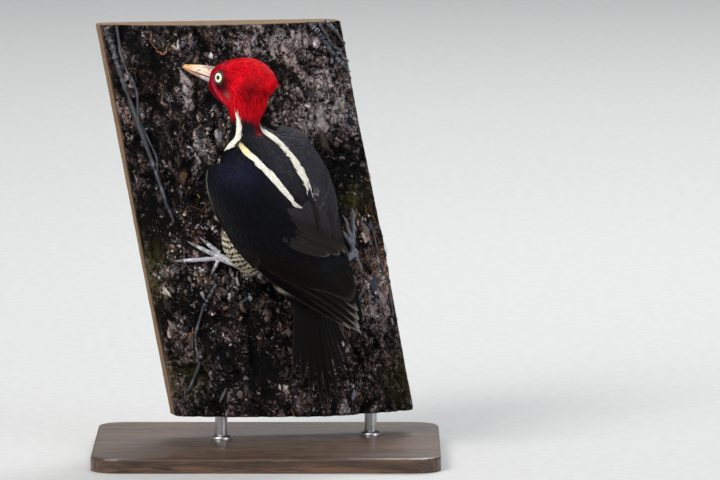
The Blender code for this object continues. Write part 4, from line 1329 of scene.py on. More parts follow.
def plumes_along(name, seed, spacing):
    """Roots, shares and lie of the feathers that follow one of the pale lines, side by side on it."""
    rng = np.random.default_rng(seed)
    track, run = run_of(STRIPES[name], 240)
    heading = np.gradient(track, axis=0)
    heading = unit(heading)
    count = int(run / MM * STRIPE_HALF[name] * 2 / spacing**2)
    share = (np.arange(count) + rng.random(count)) / count
    if not name.startswith("neck"):
        share = share[rng.random(count) > 0.92 * smooth_step(share, 0.64, 0.92)]
    at = np.clip((share * 239).astype(int), 0, 239)
    ragged = 0.22 * waver(track[at], 7, seed + 50) + 0.55 * rng.random(len(at)) ** 6
    loose = smooth_step(share, 0.72, 1.0) * (not name.startswith("neck"))
    reach = STRIPE_HALF[name] * stripe_swell(name, share) * (1 + ragged + 0.75 * loose) - 0.6
    roots = []
    for i, half, chance in zip(at, reach, rng.uniform(-1, 1, len(at))):
        place, normal, _, _ = line_bed.find_nearest(track[i])
        roots.append(np.array(place) + np.cross(heading[i], np.array(normal)) * half * chance * MM)

    def lie(points):
        nearest = np.argmin(np.linalg.norm(points[:, None] - track[None, ::6], axis=2), axis=1) * 6
        return heading[nearest]

    return np.array(roots), share, lie


sets = []
# The marginal feathers: one thin pale row along each wing's leading edge, from bend to elbow.
for side in ("left", "right"):
    rng = np.random.default_rng(460)
    count = 150
    y = 53 - 50 * (np.arange(count) + rng.random(count)) / count
    v = 0.018 + rng.uniform(-0.012, 0.012, count)
    place = wing_surface(side, y, v)
    normal, way_y, way_v = wing_normal(side, y, v)
    outward = unit(0.75 * unit(-way_v) + 0.65 * normal)
    back = unit(-way_y)
    across = np.cross(back, outward)
    t = np.linspace(0, 1, 5)[None, :, None]
    length = rng.uniform(3.8, 5.4, count)[:, None, None]
    start = place + across * rng.uniform(-0.25, 0.25, count)[:, None]
    middle = start[:, None] + back[:, None] * length * t + outward[:, None] * (0.25 + 0.35 * t)
    thin_out = (0.62 - 0.50 * smooth_step(-y, -36, -6))[:, None, None]
    half = thin_out * np.array((0.6, 1.0, 0.9, 0.6, 0.12))[None, :, None]
    rings = np.stack([middle + across[:, None] * half * x + outward[:, None] * 0.14 * z for x, z in THIN], 2)
    tint = WHITE * (0.22 + 0.78 * smooth_step(y, 8, 42))[:, None] * np.exp(rng.normal(0, 0.15, count))[:, None]
    spots = np.c_[0.02 + 0.96 * (y + 135) / 200, (0.02 if side == "left" else 0.52) + 0.45 * np.clip(v, 0, 1)]
    sets.append((from_bird(rings), tint[:, None] * np.linspace(0.6, 1.0, 5)[None, :, None], spots))
for seed, name in enumerate(STRIPES):
    on_back = not name.startswith("neck")
    roots, share, lie = plumes_along(name, 410 + seed, 0.62)
    rng = np.random.default_rng(420 + seed)
    loose = smooth_step(share, 0.72, 1.0) * on_back
    length = (7.5 if on_back else 6.0) * MM * rng.uniform(0.7, 1.25, len(roots))
    width = (1.4 - 0.2 * loose) * MM * rng.uniform(0.75, 1.3, len(roots))
    rings, path, outward = vanes(
        roots, length, width, (0.75 + 0.3 * loose) * MM, (0.6, 1.0, 0.9, 0.6, 0.12), line_bed,
        -0.1, 430 + seed, thick=0.12, twist=0.22, lie=lie, sway_by=0.06)
    warm = (1 - smooth_step(share, 0.02, 0.15))[:, None] if name == "left" else 0.25
    tint = np.array((1.0, 0.89, 0.52)) if name == "left" else np.array((1.0, 0.97, 0.86))
    shade = WHITE * (tint * warm + (1 - warm)) * np.exp(rng.normal(0, 0.13, len(roots)))[:, None]
    shade = shade * (1 - 0.35 * loose[:, None])
    down = np.linspace(0.66, 1.12, 5)[None, :, None]
    sets.append((rings, shade[:, None] * down, unroll(roots)))
weave("pale_lines", *(np.concatenate(part) for part in zip(*sets)), white_plume, slot="barred_plumage")

# --- Tail ---
# Ten stiff pointed feathers with strong shafts, the middle pair on top, pressed to the bark as a prop.
TAIL_LENGTH = 115.0
TAIL_FAN = math.radians(15)
TAIL = BIRD @ Matrix.Translation(Vector((-2, -70, 0)) * MM) @ Matrix.Rotation(math.radians(-13), 4, "Z")
TAIL = TAIL @ Matrix.Rotation(math.radians(11.5), 4, "X")


def tail_point(u, v, lift):
    """u runs across the fan from -1 to 1, v from root to tip; lift is above its middle, in mm."""
    rank = np.abs(u)
    run = v * TAIL_LENGTH * (1 - 0.34 * rank**1.6)
    angle = TAIL_FAN * u * (0.55 + 0.45 * v)
    hollow = 5 * (1 - u * u) * np.sin(np.pi * 0.5 * v) - 2
    local = np.stack([9 * u + run * np.sin(angle), -run * np.cos(angle),
                      0.6 * hollow + lift - 10 * rank**2 * (1 - 0.3 * v)], -1)
    return local * MM @ np.array(TAIL.to_3x3()).T + np.array(TAIL.translation)


rows = []
TAIL_OUTLINE = (0.55, 0.8, 0.95, 1.0, 1.0, 1.0, 0.99, 0.96, 0.92, 0.86, 0.77, 0.65, 0.49, 0.30, 0.06)
for k in range(10):
    middle = -1 + (2 * k + 1) / 10
    rank = abs(middle)
    v = np.linspace(0.02, 1.0, 15)
    ring = []
    for x, z in QUILLED:
        half = 0.150 * (1 - 0.25 * v) * np.array(TAIL_OUTLINE)
        u = middle + half * x
        lift = 1.1 * (1 - 0.5 * v) - 2.4 * rank * (1 - 0.35 * v)
        lift = lift - 0.5 * x * np.sign(middle) + z * 0.45 * (1 - 0.5 * v)
        ring.append(tail_point(u, v, lift))
    rows.append(np.stack(ring, 1))
tints = quill_colours(10, 15, QUILL_BROWN * 0.8, EDGE_BROWN * 0.5, EDGE_BROWN * 0.9, 51, 0.93)
weave_quills("tail_feathers", np.stack(rows), tints, "tail")

# --- Bill ---
# A straight chisel of horn in two halves, ridged along the top and the keel, pinkish ivory at the
# root and yellower at its worn tip, with a dark line along the gape and bristles over the nostrils.
BILL_ROOT = 11.0
BILL_TIP = 53.4


def loft(rings):
    """A closed bmesh that runs through the rings: its first face is extruded from each to the next."""
    bm = bmesh.new()
    face = bm.faces.new([bm.verts.new(point) for point in rings[0]])
    for before, ring in zip(rings, rings[1:]):
        made = bmesh.ops.extrude_face_region(bm, geom=[face])["geom"]
        if before is not rings[0]:
            bmesh.ops.delete(bm, geom=[face], context="FACES_ONLY")
        face = next(g for g in made if isinstance(g, bmesh.types.BMFace))
        for vert in face.verts:
            nearest = min(range(len(ring)), key=lambda i: (before[i] - vert.co).length_squared)
            vert.co = ring[nearest]
    bmesh.ops.recalc_face_normals(bm, faces=bm.faces)
    return bm


horn, put, shader = start_finish("bill_horn")
where = put("TexCoord")["Object"]
own = put("Mapping", {"Vector": where, "Location": HEAD_CENTRE, "Rotation": HEAD.to_euler()},
          vector_type="TEXTURE")
parts = put("SeparateXYZ", {"Vector": own})
along_bill = level(put, parts["Y"], 0.012, 0.055)
lengthwise = put("Mapping", {"Vector": own, "Scale": (900.0, 60.0, 900.0)})
streaks = grain(put, lengthwise, 1.0, 4.0, 0.6)
blots = grain(put, own, 220.0, 4.0)
spread = along_bill + (blots - 0.5) * 0.25
upper_tone = stops(
    put, spread, (0.0, (0.74, 0.50, 0.44)), (0.35, (0.95, 0.74, 0.60)), (0.58, (0.95, 0.75, 0.57)),
    (0.66, (0.92, 0.52, 0.25)), (0.90, (0.84, 0.45, 0.19)), (0.955, (0.06, 0.025, 0.012)))
lower_tone = stops(
    put, spread, (0.0, (0.42, 0.39, 0.42)), (0.30, (0.72, 0.60, 0.63)), (0.48, (0.58, 0.25, 0.19)),
    (0.68, (0.60, 0.30, 0.19)), (0.88, (0.46, 0.19, 0.07)), (0.965, (0.07, 0.03, 0.014)))
# The gape: the line where the halves meet, which the mandible's side colour starts from.
rise = parts["Z"] + 0.0018 + parts["Y"] * -0.0189
tone = over(put, level(put, rise, -0.0003, 0.0003), lower_tone, upper_tone)
tone = over(put, level(put, streaks, 0.38, 0.56, 0.42, 0), tone, (0.34, 0.18, 0.12, 1))
spots = level(put, grain(put, own, 420.0, 2.0), 0.60, 0.65, 0, 0.8)
tone = over(put, spots, tone, (0.14, 0.07, 0.045, 1))
# Painted shade: the top of the upper half is darker towards its root.
ridge = level(put, rise + along_bill * 0.0048, 0.0060, 0.0074, 0, 0.7)
tone = over(put, ridge * level(put, along_bill, 0.25, 0.55, 1, 0), tone, (0.09, 0.05, 0.04, 1))
gape = level(put, rise.math("ABSOLUTE"), 0.0003, 0.0008, 0.95, 0)
gape = gape * level(put, along_bill, 0.5, 0.75, 1, 0.35)
tone = over(put, gape, tone, (0.035, 0.018, 0.014, 1))
shader["Base Color"] = tone
shader["Roughness"] = level(put, streaks, 0.3, 0.7, 0.5, 0.36)
shader["Subsurface Weight"] = 0.12
shader["Subsurface Radius"] = (0.002, 0.0012, 0.0007)
shader["Normal"] = relief(put, streaks, 0.00012, 0.7)

for name, upper in (("bill_upper", True), ("bill_lower", False)):
    sign = 1 if upper else -1
    # Tomium, side, shoulder, flank and ridge of one half's section, from its edge up to the culmen.
    outline = ((0.93, 0.0), (1.0, 0.12), (0.97, 0.30), (0.84, 0.52), (0.64, 0.70), (0.42, 0.84), (0.22, 0.95),
               (0.07, 1.0))
    rings = []
    for step in range(27):
        t = step / 26
        narrow = 1 - t**1.5
        worn = 1 - 0.40 * max(0.0, (t - 0.95) / 0.05) ** 2
        half = (1.2 + 4.5 * narrow) * worn
        depth = (1.9 + 6.3 * narrow) * worn if upper else (1.25 + 4.5 * narrow) * worn
        depth *= 1 + 0.035 * math.sin(math.pi * t)
        edge = -1.6 + 0.8 * t + sign * 0.15
        y = BILL_ROOT + (BILL_TIP - BILL_ROOT) * t - (0.0 if upper else 1.2 * t)
        ring = []
        for x, z in outline:
            groove = 0.25 * math.exp(-(((z - 0.60) / 0.12) ** 2)) * (1 - t) ** 0.5 if upper else 0.0
            ring.append(((half - groove) * x, edge + sign * depth * z))
        ring += [(-x, z) for x, z in reversed(ring)]
        rings.append([HEAD @ (Vector((x, y, z)) * MM) for x, z in ring])
    keep(name + "_horn", loft(rings), horn, name, slot="pale_bill", smooth_under=40)

# Bristles: short stiff plumes that point forward over the nostrils and the bill's root.
rng = np.random.default_rng(61)
count = 420
angle = rng.uniform(-0.25, 1.25, count) * math.pi
ring_r = rng.uniform(0.86, 1.06, count)
start = np.c_[6.3 * ring_r * np.cos(angle), rng.uniform(10.2, 13.4, count),
              -1.6 + np.where(np.sin(angle) > 0, 8.2, 6.8) * ring_r * np.sin(angle)]
along = np.c_[-0.22 * np.cos(angle), np.ones(count), -0.26 * np.sin(angle)]
length = rng.uniform(2.2, 4.6, count) * np.where(np.sin(angle) > -0.1, 1.0, 0.75)
t = np.array((0, 0.5, 1.0))
path = start[:, None] + along[:, None] * (length[:, None] * t)[..., None]
outward = np.c_[np.cos(angle), np.zeros(count), np.sin(angle)][:, None]
side = np.cross(along[:, None], outward)
side = unit(side)
half = 0.32 * np.array((1, 0.8, 0.12))
local = np.stack([path + side * (half * x)[None, :, None] + outward * (0.16 * z + 0.25) for x, z in THIN], 2)
world = local * MM @ np.array(HEAD.to_3x3()).T + np.array(HEAD.translation)
chance = np.exp(rng.normal(0, 0.25, (count, 1, 1)))
tints = np.where(rng.random((count, 1, 1)) < 0.25, DEEP_RED * 0.8, RED * 0.85) * chance * np.ones((1, 3, 1))
weave("nostril_bristles", world, tints, np.c_[0.9 + 0.09 * rng.random(count), 0.9 + 0.09 * rng.random(count)],
      red_plume, slot="red_plumage")

# --- Eyes and lids ---
# Glass eyes: a pale straw iris with a fine dark ring round its rim and a black pupil under a clear
# domed cornea. A ring of bare dark skin, folded and pebbled, grips each one.
EYE_RADIUS = 5.2 * MM


def eye_axes(side):
    """The eye's own axes, with +Z out of the head."""
    out = HEAD.to_3x3() @ Vector((side, 0.02, 0.08)).normalized()
    up = HEAD.to_3x3() @ Vector((0, 0, 1))
    across = up.cross(out).normalized()
    turn = Matrix((across, out.cross(across), out)).transposed().to_4x4()
    return Matrix.Translation(EYES[side]) @ turn


iris, put, shader = start_finish("straw_iris")
ring_at = put("UVMap", uv_map="Iris")
parts = put("SeparateXYZ", {"Vector": ring_at})
spokes = grain(put, put("Mapping", {"Vector": ring_at, "Scale": (60.0, 3.0, 1.0)}), 1.0, 4.0, 0.7)
tone = stops(
    put, parts["Y"], (0.0, (0.001, 0.001, 0.001)), (0.34, (0.001, 0.001, 0.001)), (0.38, (0.22, 0.20, 0.08)),
    (0.46, (0.70, 0.72, 0.46)), (0.62, (0.90, 0.90, 0.72)), (0.84, (0.82, 0.84, 0.66)), (0.93, (0.10, 0.10, 0.07)))
outside_pupil = level(put, parts["Y"], 0.37, 0.46)
spoke_share = level(put, spokes, 0.35, 0.65, 0.35, 0) * outside_pupil
tone = over(put, spoke_share, tone, (0.30, 0.26, 0.12, 1))
shader["Base Color"] = tone
shader["Roughness"] = 0.35
shader["Specular IOR Level"] = 0.15
shader["Coat Weight"] = 0.5
shader["Coat Roughness"] = 0.03
shader["Normal"] = relief(put, spokes, 0.00008, 0.5)

lid_skin, put, shader = start_finish("lid_skin")
where = put("TexCoord")["Object"]
pebble = put("TexVoronoi", {"Vector": where, "Scale": 2600.0})
shader["Base Color"] = stops(put, pebble, (0.0, (0.050, 0.054, 0.064)), (0.8, (0.010, 0.011, 0.014)))
shader["Roughness"] = 0.45
shader["Normal"] = relief(put, pebble, 0.00012, 0.8)

for side, name in ((-1, "left"), (1, "right")):
    axes = eye_axes(side)
    # The ball: a half outline from the pole out and round, turned about the eye's axis.
    iris_rim = math.radians(56)
    angles = [iris_rim * k / 14 for k in range(15)]
    angles += [iris_rim + (math.pi - iris_rim) * k / 12 for k in range(1, 13)]
    outline = []
    for a in angles:
        reach, rise = math.sin(a), math.cos(a)
        if a < iris_rim:
            # Inside its rim the iris is all but flat, under a low dome of glass.
            rise = math.cos(iris_rim) + 0.12 * (1 - (reach / math.sin(iris_rim)) ** 2)
        outline.append((EYE_RADIUS * reach, 0, EYE_RADIUS * rise))
    bm = bmesh.new()
    turned(bm, outline, 48)
    layer = bm.loops.layers.uv.new("Iris")
    for face in bm.faces:
        middle = math.atan2(*face.calc_center_median().yx)
        for loop in face.loops:
            co = loop.vert.co
            turn = math.atan2(co.y, co.x) if co.xy.length > 1e-7 else middle
            turn += round((middle - turn) / math.tau) * math.tau
            from_pole = co.xy.length / (EYE_RADIUS * math.sin(iris_rim)) if co.z > 0 else 1.0
            loop[layer].uv = (turn / math.tau + 0.5, min(1.0, from_pole))
    bmesh.ops.transform(bm, matrix=axes, verts=bm.verts)
    keep("glass_eye_" + name, bm, iris, "eye_" + name, slot="eye", smooth_under=80)

    # The lids: a soft ring of skin about the iris, a little fuller above, drawn out behind.
    path, radii = [], []
    for k in range(40):
        a = math.tau * k / 40
        reach = 4.62 + 0.14 * math.cos(2 * a)
        path.append(axes @ (Vector((reach * math.cos(a), reach * math.sin(a), 3.0)) * MM))
        radii.append((0.72 + 0.07 * math.sin(a) + 0.04 * math.sin(17 * a)) * MM)
    bm = bmesh.new()
    loops = []
    for k, (point, radius) in enumerate(zip(path, radii)):
        ahead = (path[(k + 1) % 40] - path[k - 1]).normalized()
        out = axes.to_3x3() @ Vector((0, 0, 1))
        across = ahead.cross(out).normalized()
        loops.append([bm.verts.new(point + radius * (0.95 * math.cos(b) * across + 0.62 * math.sin(b) * out))
                      for b in (math.tau * j / 12 for j in range(12))])
    rings = [[bm.edges.new((ring[j - 1], ring[j])) for j in range(12)] for ring in loops]
    for k in range(40):
        bmesh.ops.bridge_loops(bm, edges=rings[k - 1] + rings[k])
    bmesh.ops.recalc_face_normals(bm, faces=bm.faces)
    keep("lids_" + name, bm, lid_skin, slot="grey_foot", smooth_under=80)

# --- Legs and feet ---
# Bare grey shanks and toes in horny plates, two toes up and outward and two aside, each with a
# curved claw whose point is hooked in the bark.
HEEL = {"left": Vector((-19, 42, -59)) * MM, "right": Vector((37, 56, -62)) * MM}
TOES = {
    "left": ((1, 236, 11, 1.5), (2, 136, 13, -3.0), (3, 152, 18, 0), (4, 184, 29, 1.6)),
    "right": ((1, 285, 10, 0), (2, 116, 16, -1.6), (3, 95, 23, 0), (4, 76, 28, 1.8)),
}
CLAW_LENGTH = {1: 6.0 * MM, 2: 6.0 * MM, 3: 7.0 * MM, 4: 8.0 * MM}


def toe_path(side, direction, reach, offset, lift, arch, steps):
    """Points along the bark, reach (start, end) from the foot's middle, lifted off it and arched."""
    along, rise = FOOT_AT[side]
    height = BIRD_CENTRE.z + rise
    way = Vector((math.cos(math.radians(direction)), math.sin(math.radians(direction))))
    points = []
    for t in (k / (steps - 1) for k in range(steps)):
        at = way * (reach[0] + (reach[1] - reach[0]) * t) + Vector((-way.y, way.x)) * offset
        points.append(bark_point(along + at.x, height + at.y, lift + arch * math.sin(math.pi * t)))
    return points


def tube(path, radii, sides, up, plated=0.0, pitch=1.2 * MM, padded=0.0):
    """Rings round a path. Plates step the upper side, pads swell the lower one."""
    rings = []
    run = 0.0
    for i, point in enumerate(path):
        ahead = path[min(i + 1, len(path) - 1)] - path[max(i - 1, 0)]
        ahead.normalize()
        across = ahead.cross(up).normalized()
        top = across.cross(ahead)
        run += (path[i] - path[i - 1]).length if i else 0.0
        saw = (run / pitch) % 1.0
        step = plated * (0.5 - saw) if saw < 0.86 else plated * -0.9
        swell = padded * max(0.0, math.sin(math.tau * run / (5.2 * MM)))
        ring = []
        for a in (math.tau * k / sides for k in range(sides)):
            over_it = max(0.0, math.sin(a) + 0.25)
            under_it = max(0.0, -math.sin(a))
            r = radii[i] * (1 + step * over_it + swell * under_it)
            ring.append(point + r * (math.cos(a) * across + math.sin(a) * top))
        rings.append(ring)
    return rings


grey_skin, put, shader = start_finish("plated_grey_skin")
where = put("TexCoord")["Object"]
cell = put("TexVoronoi", {"Vector": where, "Scale": 1500.0, "Randomness": 0.8})
mottle = grain(put, where, 380.0, 4.0, 0.6)
tone = stops(put, mottle, (0.30, (0.30, 0.30, 0.33)), (0.50, (0.56, 0.56, 0.61)), (0.70, (0.84, 0.84, 0.88)))
tone = over(put, level(put, cell, 0.42, 0.70, 0, 0.75), tone, (0.07, 0.066, 0.075, 1))
# The right foot is painted far darker and bluer than the left, as painted shade: the shade sets in 20 to 30 mm
# right of the middle.
right_of_middle = put("SeparateXYZ", {"Vector": where})["X"]
painted_shade_tone = over(put, 1.0, tone, (0.20, 0.225, 0.29, 1), "MULTIPLY")
tone = over(put, level(put, right_of_middle, 0.020, 0.030, 0, 0.85), tone, painted_shade_tone)
shader["Base Color"] = tone
shader["Roughness"] = level(put, mottle, 0.3, 0.7, 0.55, 0.40)
shader["Normal"] = relief(put, mottle - cell * 0.8, 0.00018, 0.8)

claw_horn, put, shader = start_finish("claw_horn")
where = put("TexCoord")["Object"]
streak = grain(put, where, 700.0, 3.0, 0.6)
shader["Base Color"] = stops(put, streak, (0.3, (0.085, 0.083, 0.088)), (0.7, (0.25, 0.245, 0.25)))
shader["Roughness"] = 0.32
shader["Normal"] = relief(put, streak, 0.00008, 0.6)

for side in ("left", "right"):
    ankle = toe_path(side, 90, (0, 1 * MM), 0, 3.4 * MM, 0, 2)[0]
    heel = BIRD_CENTRE + HEEL[side]
    reach_in = heel + (heel - ankle).normalized() * 8 * MM
    shank = [reach_in.lerp(ankle, k / 74) for k in range(75)]
    shank_radii = [(3.7 - 0.6 * math.sin(math.pi * min(1, k / 60) * 0.5) + 0.1 * max(0, (k - 55) / 19)) * MM
                   for k in range(75)]
    out = (ankle - perch_middle(ankle.z)).normalized()
    parts_bm = loft(tube(shank, shank_radii, 16, out, plated=0.075, pitch=2.3 * MM))
    pad = bmesh.ops.create_uvsphere(parts_bm, u_segments=20, v_segments=12, radius=3.15 * MM)["verts"]
    bmesh.ops.translate(parts_bm, verts=pad, vec=ankle)
    for number, direction, length, offset in TOES[side]:
        fat = (1.6 if number == 1 else 1.9) * MM
        start, finish, offset = 0.8 * MM, (length + 0.8) * MM, offset * MM
        count = int(length * 3.2) + 8
        path = toe_path(side, direction, (start, finish), offset, fat + 0.6 * MM, 1.1 * MM, count)
        toe_out = (path[-1] - perch_middle(path[-1].z)).normalized()
        radii = []
        for t in (k / (count - 1) for k in range(count)):
            blunt = math.sqrt(max(0.0, 1 - max(0.0, (t - 0.94) / 0.07) ** 2))
            radii.append(fat * (1.0 - 0.2 * t + 0.08 * math.cos(6 * math.pi * t)) * max(0.35, blunt))
        toe = loft(tube(path, radii, 14, toe_out, plated=0.085, pitch=1.25 * MM, padded=0.12))
        toe_mesh = bpy.data.meshes.new("toe")
        toe.to_mesh(toe_mesh)
        toe.free()
        parts_bm.from_mesh(toe_mesh)
        bpy.data.meshes.remove(toe_mesh)
        # The claw leaves the toe's end, humps over and comes down into the bark.
        hook = toe_path(side, direction, (finish - 1.6 * MM, finish + CLAW_LENGTH[number]), offset, 0, 0, 22)
        for k, point in enumerate(hook):
            t = k / 21
            hump = 1.9 * math.sin(math.pi * t**0.8) + 0.85 - 0.7 * t**3
            hook[k] = point + toe_out * (fat * 0.95 * (1 - t) + hump * MM)
        claw_radii = [MM * (1.34 * (1 - (k / 21) ** 1.5) + 0.10) for k in range(22)]
        rings = tube(hook, claw_radii, 12, toe_out)
        keep(f"claw_horn_{side}_{number}", loft(rings), claw_horn, f"claw_{side}_{number}", slot="claw")
    # The shank, the pad and the toes grow together into one skin.
    bm = smoothed(evenly(parts_bm, 0.27 * MM), 1)
    keep("plated_foot_" + side, bm, grey_skin, "foot_" + side, slot="grey_foot", smooth_under=80)

# --- Crusts, rootlets and moss ---
# What lies and grows on the bark: brittle crumbs and lichen crusts, dark creeping roots, fine
# curled rootlets and a little moss. Each lies on the bark's own surface, clear of the bird.
bark_bm = bmesh.new()
bark_bm.from_mesh(bark_slab.data)
_, bark_bed = bed_of(bark_bm)
bark_bm.free()
bird_bm = bmesh.new()
for name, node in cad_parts.items():
    if name.startswith(("foot", "claw", "tail", "wing", "thigh")):
        bird_bm.from_mesh(node.data)
bird_bed = BVHTree.FromBMesh(bird_bm)
bird_bm.free()
slab_low, slab_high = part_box("perch")


def on_slab(x, z):
    """The bark's place and normal at x and z seen from the front, or None off the bark."""
    place, normal, _, _ = bark_bed.ray_cast(Vector((x, -0.5, z)), Vector((0, 1, 0)))
    if place is None or on_bark(place)[2] > 8 * MM:
        return None
    return place, normal


def room_to_bird(point):
    """How far a place on the bark is from the bird, in millimetres."""
    return (bird_bed.find_nearest(point)[0] - Vector(point)).length / MM


def strewn(count, seed, wanted):
    """Places on the bark by chance, kept as often as wanted(zones): points, normals, zones, room."""
    rng = np.random.default_rng(seed)
    found = []
    for share_x, share_z, chance in rng.random((count, 3)):
        x = slab_low.x + (slab_high.x - slab_low.x) * share_x
        z = slab_low.z + (slab_high.z - slab_low.z) * share_z
        zones = bark_zones(x, z)
        if chance > wanted(zones):
            continue
        hit = on_slab(x, z)
        within = slab_low.z + 6 * MM < z < slab_high.z - 5 * MM
        if hit and within and on_slab(x - 4 * MM, z) and on_slab(x + 3 * MM, z):
            found.append((*hit[0], *hit[1], *zones, room_to_bird(hit[0])))
    found = np.array(found)
    return found[:, :3], found[:, 3:6], found[:, 6:10], found[:, 10]


def bark_spots(points):
    """Places on the bark's unwrap, as seen from the front."""
    return np.c_[(points[:, 0] + 0.15) / 0.3, points[:, 2] / 0.36]


def litter_finish(name, gloss, shine):
    """Dry plant matter: dyed by its attribute, mottled and rough."""
    made, put, shader = start_finish(name)
    dye = put("Attribute", attribute_name="Plumage")["Color"]
    mottle = grain(put, put("TexCoord")["Object"], 1100.0, 4.0, 0.7)
    shade = stops(put, mottle, (0.36, (0.30, 0.28, 0.27)), (0.50, (0.85, 0.85, 0.85)), (0.64, (1.5, 1.5, 1.55)))
    shader["Base Color"] = over(put, 1.0, dye, shade, "MULTIPLY")
    shader["Roughness"] = gloss
    shader["Specular IOR Level"] = shine
    shader["Normal"] = relief(put, mottle, 0.0006, 0.8)
    return made


# Crumbs and plates: six-cornered chips, wide and painted dark where they are bedded, as painted shade, and lighter
# on top. The plates are larger and lie along the trunk's lean; the crumbs lie anyhow between them.
brittle = litter_finish("brittle_crumbs", 0.85, 0.15)
chips = []
for seed, wanted, swell, stretch, askew in (
    (81, 10500, -0.22, (0.9, 1.6), 3.0),
    (181, 3400, 0.50, (1.5, 2.6), 0.35),
):
    places, normals, zones, room = strewn(wanted, seed, lambda z: 0.70 + 0.3 * z[0] - 0.55 * z[1])
    rng = np.random.default_rng(seed + 1)
    size = np.exp(rng.normal(swell, 0.42, len(places))) * smooth_step(room, 1.5, 9)
    depths = np.array([on_bark(Vector(p))[2] / MM for p in places])
    chosen = (size > 0.4) & (depths < rng.uniform(3.5, 9, len(places)))
    places, normals, zones, depths = places[chosen], normals[chosen], zones[chosen], depths[chosen, None]
    size = size[chosen, None]
    count = len(places)
    out = normals + rng.normal(0, 0.30, (count, 3))
    out = unit(out)
    upright = np.array((-0.17, 0.08, 1.0)) + rng.normal(0, askew, (count, 3))
    aside = np.cross(upright, out)
    aside = unit(aside)
    upward = np.cross(out, aside)
    turn = (np.arange(6) + rng.uniform(-0.4, 0.4, (count, 6))) * math.tau / 6
    reach = size * rng.uniform(0.45, 1.35, (count, 6)) * MM
    corner = aside[:, None] * (np.cos(turn) * reach)[..., None]
    corner = corner + upward[:, None] * (np.sin(turn) * reach * rng.uniform(*stretch, (count, 1)))[..., None]
    thick = (size**0.6 * rng.uniform(0.15, 0.75, (count, 1)) * MM)[..., None]
    base = places[:, None] + corner - out[:, None] * 0.6 * MM
    top = places[:, None] + corner * 0.74 + out[:, None] * thick + rng.normal(0, 0.14 * MM, (count, 6, 3))
    drift = np.array([noise.fractal(Vector(p) * 85, 0.8, 2.1, 3) for p in places])[:, None]
    chance = rng.random(count)
    pale = 0.05 + 0.56 * np.clip(zones[:, 0], 0, 1.3) + 0.20 * drift[:, 0]
    rusty = pale + 0.05 + 0.40 * np.clip(zones[:, 2], 0, 1)
    slaty = rusty + 0.15
    tint = np.tile((0.155, 0.118, 0.102), (count, 1)) * np.exp(rng.normal(0, 0.65, (count, 1)))
    for below, dye, by_chance in (
        (slaty, (0.095, 0.096, 0.125), 0.5),
        (rusty, (0.13, 0.068, 0.035), 0.4),
        (pale, (0.58, 0.50, 0.50), 0.4),
    ):
        dyed = dye * np.exp(rng.normal(0, by_chance, (count, 1)))
        tint = np.where((chance < below)[:, None], dyed, tint)
    # Painted shade: chips that lie deep or in a hollow are darker, and all are darkest where they are bedded.
    tint = tint * np.exp(1.9 * drift - 0.28 * np.clip(depths - 2.5, 0, 5))
    tint = tint * (1 - 0.7 * np.clip(zones[:, 1:2], 0, 1))
    painted_shade_dyes = np.stack([tint * 0.20, np.minimum(tint, 0.62)], 1)
    chips.append((np.stack([base, top], 1), painted_shade_dyes, bark_spots(places)))
weave("bark_crumbs", *(np.concatenate(part) for part in zip(*chips)), brittle, slot="bark",
      section=tuple((2 * k / 5 - 1, 0) for k in range(6)))


def cords(paths, outward, radii, around):
    """Rings of round cords along their paths."""
    ahead = np.gradient(paths, axis=1)
    ahead = unit(ahead, 1e-12)
    across = np.cross(ahead, outward)
    across = unit(across, 1e-12)
    up = np.cross(across, ahead)
    turns = np.arange(around) * math.tau / around
    return np.stack([paths + (across * math.cos(a) + up * math.sin(a)) * radii[..., None] for a in turns], 2)


# Rootlets: each creeps downwards, turning a little by chance at every step, and arches free.
places, normals, zones, room = strewn(900, 83, lambda z: 0.15 + 0.6 * z[2] + 0.2 * z[3] + 0.1 * z[1])
rng = np.random.default_rng(84)
heading = rng.uniform(-1.0, 1.0, len(places))


def creep(points):
    """The next step's way for every rootlet."""
    heading[:] += rng.normal(0, 0.38, len(heading))
    return np.c_[np.sin(heading), np.zeros(len(heading)), -np.cos(heading)]


steps = 18
length = rng.uniform(9, 34, len(places)) * MM
paths, outward = lay_back(places, length, steps, bark_bed, creep)
clear = [min(room_to_bird(p) for p in path[::2]) > 3.5 for path in paths]
clear &= np.array([all(on_bark(Vector(p))[2] < 8.5 * MM for p in path[::3]) for path in paths])
paths, outward, zones = paths[clear], outward[clear], zones[clear]
count = len(paths)
t = np.linspace(0, 1, steps)[None]
thin = rng.uniform(0.16, 0.40, (count, 1)) * (1 - 0.6 * t) * MM
arch = rng.exponential(0.9, (count, 1)) * np.sin(np.pi * t) * MM
rings = cords(paths + outward * (arch + thin)[..., None], outward, thin, 5)
rusty = rng.random(count) < 0.30 + 0.6 * zones[:, 2]
tint = np.where(rusty[:, None], (0.30, 0.125, 0.050), (0.055, 0.042, 0.040))
tint = tint * np.exp(rng.normal(0, 0.45, (count, 1)))
root_skin = litter_finish("root_skin", 0.6, 0.35)
weave("rootlets", rings, np.tile(tint[:, None], (1, steps, 1)), bark_spots(paths[:, 0]), root_skin, slot="bark",
      section=tuple((2 * k / 4 - 1, 0) for k in range(5)))

